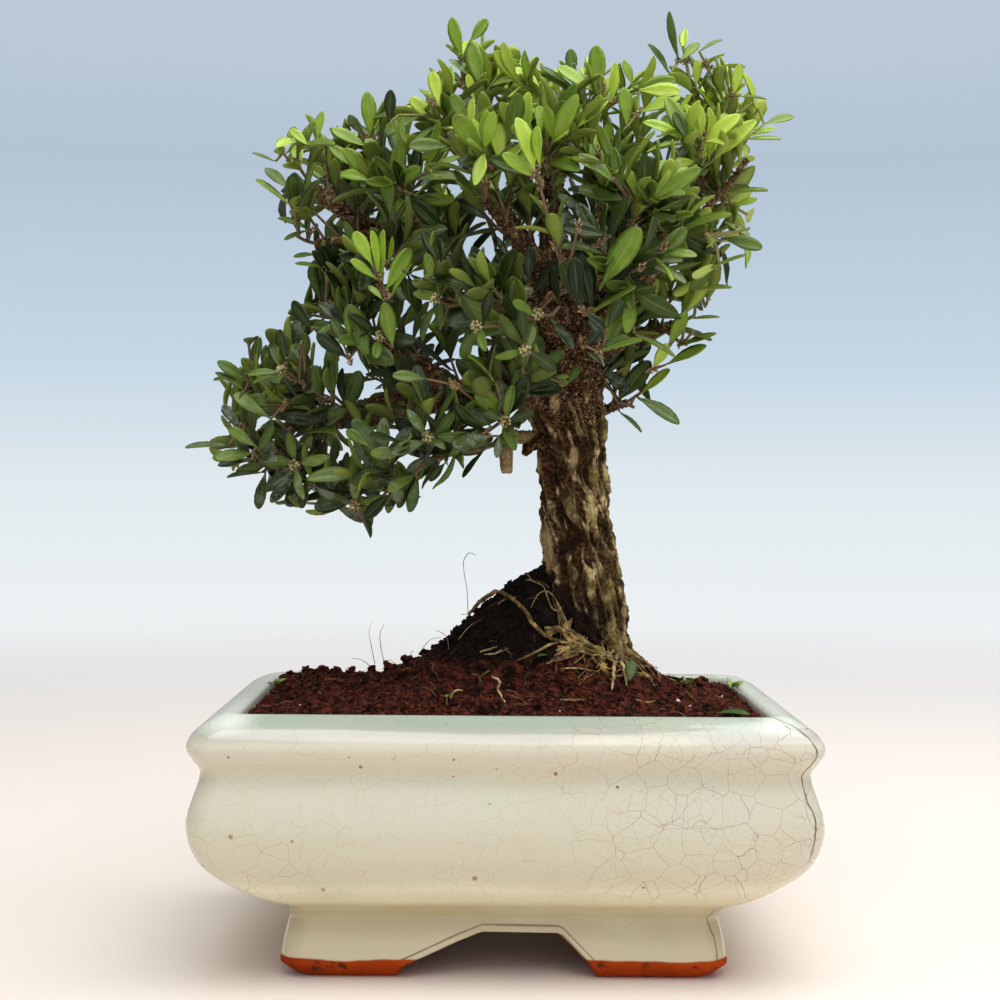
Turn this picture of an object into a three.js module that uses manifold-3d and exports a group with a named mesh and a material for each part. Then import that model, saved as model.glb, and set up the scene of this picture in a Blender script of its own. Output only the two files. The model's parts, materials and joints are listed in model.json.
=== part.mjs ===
// A Harland boxwood bonsai: a small evergreen tree with a corky, ridged trunk,
// standing on a soil mound in a rectangular glazed pot on four cut feet.
// Millimetres, +Z up, +Y towards the back.  The pot stands on z = 0.
import * as THREE from "three";
import { mergeVertices } from "three/addons/utils/BufferGeometryUtils.js";
import Module from "manifold-3d";

const wasm = await Module();
wasm.setup();
const { Manifold } = wasm;

// Driving sizes of the pot
const POT_HALF_WIDTH = 87.5;
const POT_HALF_DEPTH = 65;
const POT_HEIGHT = 75;
const CORNER_RADIUS = 7;
const CORNER_STEPS = 3;
const WALL_TOP = 13.5; // from the widest line of the pot in to the soil
const FLOOR_UNDERSIDE = 16;
const FLOOR_TOP = 22;
const DRAIN_RADIUS = 6;
const DRAIN_X = 32;

// Driving sizes of the plant
const LEAF_LENGTH = 12.5;
const LEAF_WIDTH = 4.6;
const LEAF_THICKNESS = 1;
const TWIG_RADIUS = 1.3;
const TWIG_TIP_RADIUS = 0.75;
const TWIG_SIDES = 3;
const SEAT_GAP = 0.3; // between pieces that touch or join on the real plant
const CLEAR_GAP = 0.35; // least distance between two sprays
const GOLDEN_ANGLE = THREE.MathUtils.degToRad(137.5);
const UP = new THREE.Vector3(0, 0, 1);

const point = ([x, y, z]) => new THREE.Vector3(x, y, z);

// Pseudo-random numbers from 0 to 1, the same ones on every run.
function draws(seed) {
  let state = seed;
  const next = () => {
    state = (state * 16807) % 2147483647;
    return state / 2147483647;
  };
  next(); // a small seed gives a small first number
  next();
  return next;
}

// Solids from rings of points

// A closed skin over rings with the same number of points, flat at both ends.
function skin(rings) {
  const count = rings[0].length;
  const index = [];
  for (let i = 0; i + 1 < rings.length; i++)
    for (let j = 0; j < count; j++) {
      const a = i * count + j;
      const b = i * count + ((j + 1) % count);
      index.push(a, b, b + count, a, b + count, a + count);
    }
  const last = (rings.length - 1) * count;
  for (let j = 1; j + 1 < count; j++) {
    index.push(0, j + 1, j);
    index.push(last, last + j, last + j + 1);
  }
  const places = rings.flat().flatMap((p) => [p.x, p.y, p.z]);
  return new THREE.BufferGeometry()
    .setAttribute("position", new THREE.Float32BufferAttribute(places, 3))
    .setIndex(index);
}

function solid(geometry) {
  const bare = new THREE.BufferGeometry()
    .setAttribute("position", geometry.getAttribute("position"))
    .setIndex(geometry.index);
  const merged = mergeVertices(bare, 1e-4);
  return new Manifold(
    new wasm.Mesh({
      numProp: 3,
      vertProperties: new Float32Array(merged.attributes.position.array),
      triVerts: new Uint32Array(merged.index.array),
    }),
  );
}

function meshOf(name, shape, material) {
  const m = shape.getMesh();
  const geometry = new THREE.BufferGeometry()
    .setAttribute("position", new THREE.BufferAttribute(m.vertProperties, 3))
    .setIndex(new THREE.BufferAttribute(m.triVerts, 1));
  geometry.computeVertexNormals();
  const mesh = new THREE.Mesh(geometry, material);
  mesh.name = name;
  return mesh;
}

const biggest = (shape) => shape.decompose().sort((a, b) => b.volume() - a.volume())[0];

// A limb of changing radius along a line of [x, y, z, radius].
function limb(line, sides, grow = 0, ridge = () => 1) {
  const centres = line.map(point);
  const tangents = centres.map((_, i) =>
    centres[Math.min(i + 1, centres.length - 1)]
      .clone()
      .sub(centres[Math.max(i - 1, 0)])
      .normalize(),
  );
  if (grow) {
    centres[0].addScaledVector(tangents[0], -grow);
    centres.at(-1).addScaledVector(tangents.at(-1), grow);
  }
  let side = new THREE.Vector3(0, 1, 0);
  if (Math.abs(tangents[0].y) > 0.8) side.set(1, 0, 0);
  const rings = centres.map((centre, i) => {
    side = side.clone().addScaledVector(tangents[i], -side.dot(tangents[i])).normalize();
    const across = tangents[i].clone().cross(side);
    return Array.from({ length: sides }, (_, j) => {
      const angle = (2 * Math.PI * j) / sides;
      const radius = line[i][3] * ridge(angle, centre.z) + grow;
      return centre
        .clone()
        .addScaledVector(side, radius * Math.cos(angle))
        .addScaledVector(across, radius * Math.sin(angle));
    });
  });
  return solid(skin(rings));
}

// More points on a line of [x, y, z, radius], on a smooth curve through its own.
function refined(line, count) {
  const curve = new THREE.CatmullRomCurve3(line.map(point), false, "centripetal");
  return Array.from({ length: count }, (_, i) => {
    const share = i / (count - 1);
    const place = share * (line.length - 1);
    const k = Math.min(Math.floor(place), line.length - 2);
    const radius = THREE.MathUtils.lerp(line[k][3], line[k + 1][3], place - k);
    return [...curve.getPoint(share).toArray(), radius];
  });
}

// The pot

// One level of the pot: a rounded rectangle, drawn in from the widest line.
function potRing([z, insetX, insetY]) {
  const halfX = POT_HALF_WIDTH - insetX;
  const halfY = POT_HALF_DEPTH - insetY;
  const quarter = Math.PI / 2;
  const ring = [];
  for (let corner = 0; corner < 4; corner++) {
    const signX = corner === 0 || corner === 3 ? 1 : -1;
    const signY = corner < 2 ? 1 : -1;
    for (let step = 0; step <= CORNER_STEPS; step++) {
      const angle = quarter * (corner + step / CORNER_STEPS);
      ring.push(
        new THREE.Vector3(
          signX * (halfX - CORNER_RADIUS) + CORNER_RADIUS * Math.cos(angle),
          signY * (halfY - CORNER_RADIUS) + CORNER_RADIUS * Math.sin(angle),
          z,
        ),
      );
    }
  }
  return ring;
}

// [height, inset from the sides, inset from front and back], from the middle of
// the underside out over the foot, up the outside, over the rim and down inside.
const POT_PROFILE = [
  [FLOOR_UNDERSIDE, 36, 29],
  [2, 33, 26],
  [0, 32, 25],
  [0, 28, 21],
  [4, 24, 17],
  [10, 25, 18.3],
  [17, 26.7, 20],
  [19.5, 24.8, 18.5],
  [22, 19, 14.5],
  [24.7, 13.8, 11.5],
  [32, 4.9, 4.7],
  [38, 1.4, 1.4],
  [46, 0, 0],
  [59.5, 3.4, 3.4],
  [62.5, 1.8, 1.8],
  [66.5, 0, 0],
  [70.5, 1.8, 1.8],
  [74, 7.5, 7.5],
  [POT_HEIGHT, 10.5, 10.5],
  [74.2, 12.6, 12.6],
  [71, WALL_TOP, WALL_TOP],
  [40, WALL_TOP, WALL_TOP],
  [28, 17, 17],
  [FLOOR_TOP, 25, 25],
];

// The openings cut between the feet: [along the side, height], wider at the
// outside of the foot than at its inside.
const LONG_ARCH = [[-35, -2], [-31.5, 3.5], [-15, 12], [-7, 15], [17.7, 14.6], [27.5, 3.5], [31, -2]];
const LONG_ARCH_INSIDE = [[-31, -2], [-27, 2.5], [-13, 8], [-6, 11], [15, 10.8], [23.5, 2.5], [26, -2]];
const SHORT_ARCH = [[-20, -2], [-16, 3.5], [-8, 13.5], [8, 13.5], [16, 3.5], [20, -2]];
const SHORT_ARCH_INSIDE = [[-16, -2], [-12, 2.5], [-6, 10], [6, 10], [12, 2.5], [16, -2]];

function archCutter(outside, inside, place) {
  const footInside = 22; // depth at which the foot's wall ends
  const reach = 45;
  const rings = [
    outside.map(([u, z]) => place(u, z, 0)),
    inside.map(([u, z]) => place(u, z, footInside)),
    inside.map(([u, z]) => place(u, z, reach)),
  ];
  return solid(skin(rings));
}

// The pot as its bowl and the foot ring under the bowl's flat floor.
function makePot() {
  const outerX = POT_HALF_WIDTH - 14; // just outside the feet
  const outerY = POT_HALF_DEPTH - 8;
  let pot = solid(skin(POT_PROFILE.map(potRing)));
  const cuts = [
    archCutter(LONG_ARCH, LONG_ARCH_INSIDE, (u, z, d) => new THREE.Vector3(u, d - outerY, z)),
    archCutter(LONG_ARCH, LONG_ARCH_INSIDE, (u, z, d) => new THREE.Vector3(-u, outerY - d, z)),
    archCutter(SHORT_ARCH, SHORT_ARCH_INSIDE, (u, z, d) => new THREE.Vector3(d - outerX, -u, z)),
    archCutter(SHORT_ARCH, SHORT_ARCH_INSIDE, (u, z, d) => new THREE.Vector3(outerX - d, u, z)),
  ];
  const hole = new THREE.CylinderGeometry(DRAIN_RADIUS, DRAIN_RADIUS, 30, 14).rotateX(Math.PI / 2);
  for (const side of [-1, 1])
    cuts.push(solid(hole.clone().translate(side * DRAIN_X, 0, FLOOR_TOP)));
  for (const cut of cuts) pot = pot.subtract(cut);
  return {
    bowl: pot.trimByPlane([0, 0, 1], FLOOR_UNDERSIDE),
    foot: pot.trimByPlane([0, 0, -1], SEAT_GAP - FLOOR_UNDERSIDE),
  };
}

// A square of plastic mesh over a drainage hole.
const SCREEN_SIDE = 19;
const SCREEN_THICKNESS = 1.2;
const SCREEN_PITCH = 5.8;
const SCREEN_WINDOW = 4.4;

function makeScreen(x) {
  const z = FLOOR_TOP + SEAT_GAP + SCREEN_THICKNESS / 2;
  const plate = new THREE.BoxGeometry(SCREEN_SIDE, SCREEN_SIDE, SCREEN_THICKNESS);
  const window = new THREE.BoxGeometry(SCREEN_WINDOW, SCREEN_WINDOW, 2 * SCREEN_THICKNESS);
  let screen = solid(plate.translate(x, 0, z));
  for (const i of [-1, 0, 1])
    for (const j of [-1, 0, 1]) {
      const hole = window.clone().translate(x + SCREEN_PITCH * i, SCREEN_PITCH * j, z);
      screen = screen.subtract(solid(hole));
    }
  return screen;
}

// The soil

const SOIL_EDGE = 72.5;
const HILL_X = 12; // top of the root mound, just left of the trunk
const HILL_Y = 4;

const bell = (distance, spread) => Math.exp(-(distance * distance) / (2 * spread * spread));

// The height of the soil: a low swell across the pot and a steep mound of old
// root-ball at the trunk.
function soilHeight(x, y) {
  const toWall = Math.min(
    POT_HALF_WIDTH - WALL_TOP - Math.abs(x),
    POT_HALF_DEPTH - WALL_TOP - Math.abs(y),
  );
  const inside = THREE.MathUtils.smoothstep(toWall, 0, 16);
  const swell = 8.5 * bell(x, 48) * bell(y, 34);
  const hill =
    34 * bell(x - HILL_X, x < HILL_X ? 20 : 16) * bell(y - HILL_Y, y < HILL_Y ? 12 : 17);
  const lumps = 0.9 * Math.sin(0.42 * x + 1.3) * Math.sin(0.55 * y + 0.4);
  return SOIL_EDGE + inside * (swell + hill + lumps);
}

// A level of the pot with more points along its straight sides.
function soilRing(level) {
  const corners = potRing(level);
  const perCorner = CORNER_STEPS + 1;
  return corners.flatMap((p, i) => {
    const straight = i % perCorner === CORNER_STEPS;
    const long = Math.floor(i / perCorner) % 2 === 0;
    const parts = straight ? (long ? 7 : 5) : 1;
    const next = corners[(i + 1) % corners.length];
    return Array.from({ length: parts }, (_, k) => p.clone().lerp(next, k / parts));
  });
}

function makeSoil(plantWithGap) {
  const gap = SEAT_GAP;
  const cavity = [
    [FLOOR_TOP + gap, 25 + gap, 25 + gap],
    [28, 17.6, 17.6],
    [40, WALL_TOP + gap, WALL_TOP + gap],
    [SOIL_EDGE, WALL_TOP + gap, WALL_TOP + gap],
  ];
  const rings = cavity.map(soilRing);
  const edge = rings.at(-1);
  const steps = 7;
  for (let k = 1; k <= steps; k++) {
    const share = Math.min(k / steps, 0.97);
    rings.push(
      edge.map(({ x, y }) => {
        const px = THREE.MathUtils.lerp(x, HILL_X, share);
        const py = THREE.MathUtils.lerp(y, HILL_Y, share);
        return new THREE.Vector3(px, py, soilHeight(px, py));
      }),
    );
  }
  let soil = solid(skin(rings)).subtract(plantWithGap);
  const room = new THREE.BoxGeometry(
    SCREEN_SIDE + 2 * gap,
    SCREEN_SIDE + 2 * gap,
    2 * (SCREEN_THICKNESS + 2 * gap),
  );
  for (const side of [-1, 1])
    soil = soil.subtract(solid(room.clone().translate(side * DRAIN_X, 0, FLOOR_TOP)));
  return biggest(soil);
}

// The wood: trunk, surface roots and branches, one grown piece

const TRUNK = [
  [24, 2, 66, 14],
  [24, 2, 84, 14.4],
  [24, 2, 92, 13.8],
  [24, 1, 103, 12.6],
  [22.4, 1, 116, 11],
  [21, 0, 128, 10.4],
  [20, 0, 140, 10.4],
  [19, 0, 152, 10.8],
  [17, -1, 165, 11.6],
  [16, -2, 180, 10.6],
  [15, -4, 195, 7.4],
  [14, -6, 210, 4.6],
  [11, -9, 226, 2],
];
const TRUNK_SIDES = 21;
const TRUNK_RINGS = 17;

// Corky ridges that run up the trunk and wander a little.
const CORK_RIDGES = 7;
const CORK_RELIEF = 0.09;

function corkRidge(angle, z) {
  const wander = 0.18 * Math.sin(z / 11) + 0.004 * z;
  return 1 + CORK_RELIEF * Math.cos(CORK_RIDGES * (angle + wander));
}

// Roots that lie on the soil: [x, y, radius] from the trunk outwards.
const ROOTS = [
  [[17, -6, 2.2], [8, -10, 1.9], [0, -9, 1.7], [-8, -8, 1.4], [-15, -11, 0.9]],
  [[22, -9, 2.4], [14, -16, 1.9], [7, -22, 1.3], [1, -26, 0.8]],
  [[26, -9, 2.4], [28, -17, 1.9], [26, -25, 1.1]],
  [[30, -7, 2.6], [37, -12, 2.1], [45, -14, 1.5], [52, -13, 0.8]],
  [[32, 5, 2.4], [41, 10, 1.8], [50, 13, 1]],
  [[24, 11, 2.4], [20, 22, 1.8], [13, 31, 1]],
  [[15, 8, 2.2], [4, 14, 1.6], [-7, 18, 0.9]],
];

function rootLine(root) {
  return root.map(([x, y, radius], i) => {
    const sink = i === 0 ? 4 : 0.15 * radius;
    return [x, y, soilHeight(x, y) - sink, radius];
  });
}

// Each branch: its line of [x, y, z, radius] from inside the trunk outwards, and
// the sprays it carries as [share of the way along it, tip x, tip y, tip z].
const BRANCHES = {
  low_left: {
    line: [[12, -2, 166, 5.6], [-2, -6, 167, 4.8], [-16, -10, 165, 4.2], [-29, -12, 162, 3.4],
      [-44, -12, 158, 2.5], [-62, -8, 156, 1.7], [-75, -4, 154, 1.1]],
    sprays: [[1, -80, -1, 152], [0.85, -72, -17, 142], [0.75, -62, -3, 134], [0.8, -79, -9, 171],
      [0.64, -64, -27, 171]],
  },
  low_left_up: {
    line: [[-14, -10, 166, 3.6], [-23, -16, 172, 2.9], [-36, -18, 178, 2.1], [-47, -13, 183, 1.3]],
    sprays: [[1, -57, -6, 194], [0.75, -47, -31, 186]],
  },
  low_left_front: {
    line: [[-9, -8, 166, 3], [-20, -26, 154, 2.2], [-31, -30, 148, 1.6], [-41, -25, 141, 1.1]],
    sprays: [[1, -49, -20, 131], [0.75, -30, -38, 136], [0.45, -17, -45, 146]],
  },
  low_left_back: {
    line: [[-22, -11, 164, 2.8], [-36, 12, 165, 2.1], [-50, 24, 163, 1.2]],
    sprays: [[1, -68, 32, 160], [0.6, -37, 40, 172]],
  },
  upper_left: {
    line: [[13, 0, 184, 5], [-5, 8, 199, 4], [-24, 10, 208, 3.3], [-38, 8, 214, 2.9],
      [-50, 5, 222, 2.7], [-60, 2, 229, 2.5]],
    sprays: [[0.95, -65, -5, 237], [0.88, -58, 13, 244], [0.7, -51, 36, 230], [0.5, -35, -42, 201]],
  },
  upper_left_top: {
    line: [[-24, 10, 208, 2.8], [-32, 10, 223, 2.1], [-39, 6, 235, 1.3]],
    sprays: [[1, -42, 2, 249], [0.6, -33, -28, 226]],
  },
  upper_left_side: {
    line: [[-40, 7, 216, 2.4], [-50, -3, 212, 1.8], [-58, -7, 211, 1.2]],
    sprays: [[1, -64, -12, 213], [0.55, -54, -4, 198]],
  },
  top_left: {
    line: [[14, -3, 196, 3.8], [4, -5, 213, 3], [-6, -5, 228, 2.3], [-11, -3, 243, 1.6],
      [-13, -1, 256, 1.1]],
    sprays: [[1, -15, 0, 269], [0.84, -2, 14, 266], [0.7, -25, -21, 249]],
  },
  front_upper: {
    line: [[13, -6, 203, 2.8], [1, -28, 212, 2], [-7, -40, 219, 1.2]],
    sprays: [[1, -6, -54, 229]],
  },
  top_centre: {
    line: [[13, -7, 216, 2.9], [16, 4, 237, 2.1], [21, 8, 251, 1.2]],
    sprays: [[1, 24, 10, 264], [0.85, 35, -7, 258], [0.6, 9, -20, 257]],
  },
  leader: {
    line: [[12, -8, 221, 2.4], [11, -24, 224, 1.6], [11, -34, 227, 1.1]],
    sprays: [[1, 10, -47, 234]],
  },
  right_long: {
    line: [[22, -4, 182, 4], [35, -12, 194, 3.2], [47, -15, 207, 2.5], [59, -12, 221, 1.9],
      [72, -8, 237, 1.6]],
    sprays: [[0.86, 67, 5, 226], [0.7, 63, -13, 209], [0.5, 44, -35, 213]],
  },
  right_up: {
    line: [[20, 4, 191, 3.7], [38, 10, 208, 2.9], [52, 8, 221, 2.3], [59, 5, 232, 1.9],
      [61, 3, 243, 1.3]],
    sprays: [[1, 53, 0, 273], [0.95, 67, -9, 259], [0.8, 73, 7, 250], [0.6, 56, -27, 240]],
  },
  right_thin: {
    line: [[23, -2, 178, 2.8], [40, -6, 184, 1.9], [54, -5, 189, 1.1]],
    sprays: [[1, 66, 5, 199], [0.75, 54, -10, 181]],
  },
  right_low: {
    line: [[26, 4, 160, 1.9], [33, 6, 163, 1.4], [37, 6, 164, 1.1]],
    sprays: [[1, 47, 3, 161]],
  },
  front_right: {
    line: [[17, -6, 193, 3], [27, -28, 201, 2.1], [33, -42, 208, 1.2]],
    sprays: [[1, 35, -55, 218], [0.8, 30, -60, 197], [0.5, 25, -46, 232]],
  },
  front_centre: {
    line: [[15, -7, 183, 3.2], [11, -28, 187, 2.3], [6, -43, 190, 1.3]],
    sprays: [[1, 2, -60, 183], [0.6, -17, -55, 190], [0.8, 16, -64, 197]],
  },
  front_low: {
    line: [[11, -7, 164, 2.6], [3, -24, 163, 1.8], [0, -33, 160, 1.2]],
    sprays: [[1, -1, -47, 157]],
  },
  back_left: {
    line: [[13, 5, 185, 3.2], [-1, 30, 201, 2.3], [-18, 47, 214, 1.3]],
    sprays: [[1, -25, 62, 224], [0.65, -3, 62, 195]],
  },
  back_right: {
    line: [[19, 5, 188, 3.2], [35, 30, 203, 2.3], [47, 46, 214, 1.3]],
    sprays: [[1, 54, 58, 228], [0.65, 37, 64, 207]],
  },
  back_top: {
    line: [[15, 1, 203, 2.8], [14, 24, 225, 2.1], [12, 38, 241, 1.3]],
    sprays: [[1, 11, 50, 260]],
  },
  back_low: {
    line: [[17, 7, 170, 2.8], [12, 34, 177, 2], [7, 47, 182, 1.2]],
    sprays: [[1, 6, 64, 187]],
  },
};

// A short side branch sawn off just left of the trunk.
const STUB = [[9, -4, 153, 2.2], [1, -8, 152.5, 1.9], [0, -9, 151, 2], [0, -10, 142, 1.9]];

// The wood in one solid, or the room that it needs in the soil.
function makeWood(grow) {
  const lines = Object.values(BRANCHES).map((branch) => branch.line);
  return Manifold.union([
    limb(refined(TRUNK, TRUNK_RINGS), TRUNK_SIDES, grow, corkRidge),
    limb(STUB, 5, grow),
    ...ROOTS.map((root) => limb(rootLine(root), 4, grow)),
    ...lines.map((line) => limb(line, line[0][3] > 3 ? 5 : 4, grow)),
  ]);
}

// The sprays: a twig with side shoots and pairs of leaves

// The place at a share of the way along a line, counted in its own steps.
function along(line, share) {
  const place = share * (line.length - 1);
  const k = Math.min(Math.floor(place), line.length - 2);
  return line[k].map((value, i) => THREE.MathUtils.lerp(value, line[k + 1][i], place - k));
}

// A shoot leaves its branch low and curves up to its tip, bent a little aside.
function shootLine(base, tip, radius, bend) {
  const sideways = new THREE.Vector3(tip.y - base.y, base.x - tip.x, 0).normalize();
  const middle = base
    .clone()
    .lerp(tip, 0.5)
    .addScaledVector(UP, -0.12 * base.distanceTo(tip))
    .addScaledVector(sideways, bend);
  const curve = new THREE.QuadraticBezierCurve3(base, middle, tip);
  return [0, 0.5, 1].map((share) => [
    ...curve.getPoint(share).toArray(),
    THREE.MathUtils.lerp(radius, TWIG_TIP_RADIUS, share),
  ]);
}

// A place on a shoot, with the way it grows there and two directions across it.
function frameAt(line, share) {
  const here = point(along(line, share));
  const ahead = point(along(line, Math.min(share + 0.15, 1)));
  const behind = point(along(line, Math.max(share - 0.15, 0)));
  const forward = ahead.sub(behind).normalize();
  const side = UP.clone().cross(forward);
  if (side.length() < 0.1) side.set(1, 0, 0);
  side.normalize();
  return { here, forward, side, over: forward.clone().cross(side) };
}

// The direction that stands off a shoot at an azimuth round it.
const radial = ({ side, over }, azimuth) =>
  side.clone().multiplyScalar(Math.cos(azimuth)).addScaledVector(over, Math.sin(azimuth));

const SIDE_SHOOTS = 2;
const SIDE_SHOOT_RADIUS = 0.85;

function sideShoots(line, random) {
  const turn = random() * 2 * Math.PI;
  return Array.from({ length: SIDE_SHOOTS }, (_, k) => {
    const frame = frameAt(line, 0.4 + 0.5 * ((0.3 + 0.618 * k) % 1));
    const direction = frame.forward
      .clone()
      .multiplyScalar(0.6)
      .addScaledVector(radial(frame, turn + k * GOLDEN_ANGLE), 0.8)
      .addScaledVector(UP, 0.3)
      .normalize();
    const tip = frame.here.clone().addScaledVector(direction, 10 + 4 * random());
    return [
      [...frame.here.toArray(), SIDE_SHOOT_RADIUS],
      [...tip.toArray(), TWIG_TIP_RADIUS],
    ];
  });
}

// A leaf: broadest past its middle, blunt at the tip, with a keel for its rib.
const LEAF_FACES = [
  [0, 4, 1], [1, 3, 2], [1, 4, 3],
  [0, 1, 5], [1, 2, 5], [2, 3, 5], [3, 4, 5], [4, 0, 5],
];

function makeLeaf(frame, azimuth, lean, size) {
  const outward = radial(frame, azimuth);
  const along = frame.forward
    .clone()
    .multiplyScalar(Math.cos(lean))
    .addScaledVector(outward, Math.sin(lean));
  const face = frame.forward
    .clone()
    .multiplyScalar(Math.sin(lean))
    .addScaledVector(outward, -Math.cos(lean));
  const across = along.clone().cross(face);
  const length = LEAF_LENGTH * size;
  const half = (LEAF_WIDTH * size) / 2;
  const place = (u, v, w) =>
    frame.here
      .clone()
      .addScaledVector(along, u * length)
      .addScaledVector(across, v * half)
      .addScaledVector(face, w);
  const corners = [
    frame.here.clone().addScaledVector(outward, 0.25),
    place(0.6, -1, 0.15),
    place(0.97, -0.42, 0),
    place(0.97, 0.42, 0),
    place(0.6, 1, 0.15),
    place(0.42, 0, -LEAF_THICKNESS),
  ];
  const places = corners.flatMap((p) => p.toArray());
  return solid(
    new THREE.BufferGeometry()
      .setAttribute("position", new THREE.Float32BufferAttribute(places, 3))
      .setIndex(LEAF_FACES.flat()),
  );
}

// Whether a shape keeps its distance from every other one in a list.
function isClear(shape, others, gap) {
  const a = shape.boundingBox();
  return others.every((other) => {
    const b = other.box;
    const apart = [0, 1, 2].some((i) => a.min[i] - b.max[i] > gap || b.min[i] - a.max[i] > gap);
    return apart || shape.minGap(other.shape, gap + 0.1) >= gap;
  });
}

const kept = (shape) => ({ shape, box: shape.boundingBox() });

// A shoot as a solid, from where it is just clear of the branch it grows on.
function clearOfWood(line, wood) {
  for (let skipped = 0.02; skipped < 0.46; skipped += 0.005) {
    const shape = limb([along(line, skipped), ...line.slice(1)], TWIG_SIDES);
    if (isClear(shape, wood, SEAT_GAP)) return shape;
  }
  return null;
}

// The twig and side shoots of one spray.  Where another spray's twigs are in the
// way, the twig is bent aside or starts a little further along its branch.
const BENDS = [0, 4, -4, 8, -8];
const SHIFTS = [0, -0.05, 0.05, -0.1, 0.1, -0.15, -0.2];

function growTwigs(branch, [share, ...tip], seed, wood, others) {
  let trial = 0;
  for (const bend of BENDS)
    for (const shift of SHIFTS) {
      const random = draws(seed + trial);
      trial += 1;
      const [x, y, z, branchRadius] = along(branch.line, Math.min(share + shift, 1));
      const radius = Math.min(TWIG_RADIUS, 0.95 * branchRadius);
      const line = shootLine(new THREE.Vector3(x, y, z), point(tip), radius, bend);
      const twig = clearOfWood(line, wood);
      if (!twig) continue;
      const shoots = sideShoots(line, random);
      const shape = Manifold.union([twig, ...shoots.map((shoot) => limb(shoot, TWIG_SIDES))]);
      const free = isClear(shape, others, CLEAR_GAP) && isClear(shape, wood, SEAT_GAP);
      if (free) return { line, shoots, shape, random };
    }
  throw new Error("the spray to " + tip + " meets another");
}

// Pairs of leaves: [share along the shoot, lean from it in degrees, size].
const TIP_PAIRS = [[0.94, 40, 0.92], [0.72, 58, 1.06]];
const SIDE_PAIRS = [[0.9, 48, 0.98]];

const TWISTS = [0, 0.4, -0.4, 0.8, -0.8, 1.2];

function growLeaves({ line: twig, shoots, random }, isFree) {
  const leaves = [];
  const growPairs = (line, pairs) => {
    const turn = random() * Math.PI;
    pairs.forEach(([share, lean, size], k) => {
      const frame = frameAt(line, share);
      for (const half of [0, Math.PI]) {
        const azimuth = turn + half + (k * Math.PI) / 2;
        const tilt = THREE.MathUtils.degToRad(lean + 14 * (random() - 0.5));
        const scale = size * (0.9 + 0.2 * random());
        for (const twist of TWISTS) {
          const leaf = makeLeaf(frame, azimuth + twist, tilt, scale);
          if (!isFree(leaf, leaves)) continue;
          leaves.push(leaf);
          break;
        }
      }
    });
  };
  growPairs(twig, TIP_PAIRS);
  for (const shoot of shoots) growPairs(shoot, SIDE_PAIRS);
  return leaves;
}

// Materials

const glaze = new THREE.MeshStandardMaterial({ color: 0xcfd2b8, roughness: 0.15 });
const earth = new THREE.MeshStandardMaterial({ color: 0x3c1c14, roughness: 0.95 });
const bark = new THREE.MeshStandardMaterial({ color: 0x6b5836, roughness: 0.9 });
const plastic = new THREE.MeshStandardMaterial({ color: 0x1c1f1d, roughness: 0.6 });
const darkLeaf = new THREE.MeshStandardMaterial({ color: 0x2f4d1c, roughness: 0.4 });
const newLeaf = new THREE.MeshStandardMaterial({ color: 0x6f9a2c, roughness: 0.45 });
const NEW_LEAVES_ABOVE = 225;

// Assembly

const pot = makePot();
const wood = makeWood(0);
const woodKept = [kept(wood)];
const bonsai = new THREE.Group();
bonsai.add(meshOf("pot", pot.bowl, glaze));
bonsai.add(meshOf("pot_foot", pot.foot, glaze));
bonsai.add(meshOf("soil", makeSoil(makeWood(SEAT_GAP)), earth));
bonsai.add(meshOf("tree_wood", wood, bark));
bonsai.add(meshOf("drain_screen_left", makeScreen(-DRAIN_X), plastic));
bonsai.add(meshOf("drain_screen_right", makeScreen(DRAIN_X), plastic));

const sprays = [];
for (const [branchName, branch] of Object.entries(BRANCHES))
  branch.sprays.forEach((spray, i) => {
    const seed = 500 + 41 * sprays.length;
    const others = sprays.map((s) => s.twig);
    const twigs = growTwigs(branch, spray, seed, woodKept, others);
    const name = `spray_${branchName}_${i + 1}`;
    sprays.push({ name, twigs, twig: kept(twigs.shape), leaves: [], height: spray[3] });
  });

for (const spray of sprays) {
  const strangers = sprays.filter((s) => s !== spray).flatMap((s) => [s.twig, ...s.leaves]);
  const isFree = (leaf, own) =>
    isClear(leaf, strangers, CLEAR_GAP) &&
    isClear(leaf, woodKept, CLEAR_GAP) &&
    own.every((other) => leaf.intersect(other).isEmpty());
  const leaves = growLeaves(spray.twigs, isFree);
  spray.leaves = leaves.map(kept);
  const shape = biggest(Manifold.union([spray.twigs.shape, ...leaves]));
  bonsai.add(meshOf(spray.name, shape, spray.height > NEW_LEAVES_ABOVE ? newLeaf : darkLeaf));
}

// The origin is under the middle of the whole plant's box.
const box = new THREE.Box3().setFromObject(bonsai);
const middle = box.getCenter(new THREE.Vector3());
bonsai.position.set(-middle.x, -middle.y, -box.min.z);

export default bonsai;
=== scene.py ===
# %% [markdown]
# # A boxwood bonsai in a glazed pot
# The object is a small evergreen tree with a corky trunk, on a mound of dark soil, in a
# cream-green glazed pot that stands on four cut feet.  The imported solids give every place
# and size, and this lesson dresses them: each plain solid is replaced by a finer mesh of
# the same form, and what is too small for a solid, such as crumbs and fibres, is added.

import json
import math

import bpy
import numpy as np
from mathutils import Matrix, Vector, noise

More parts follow.
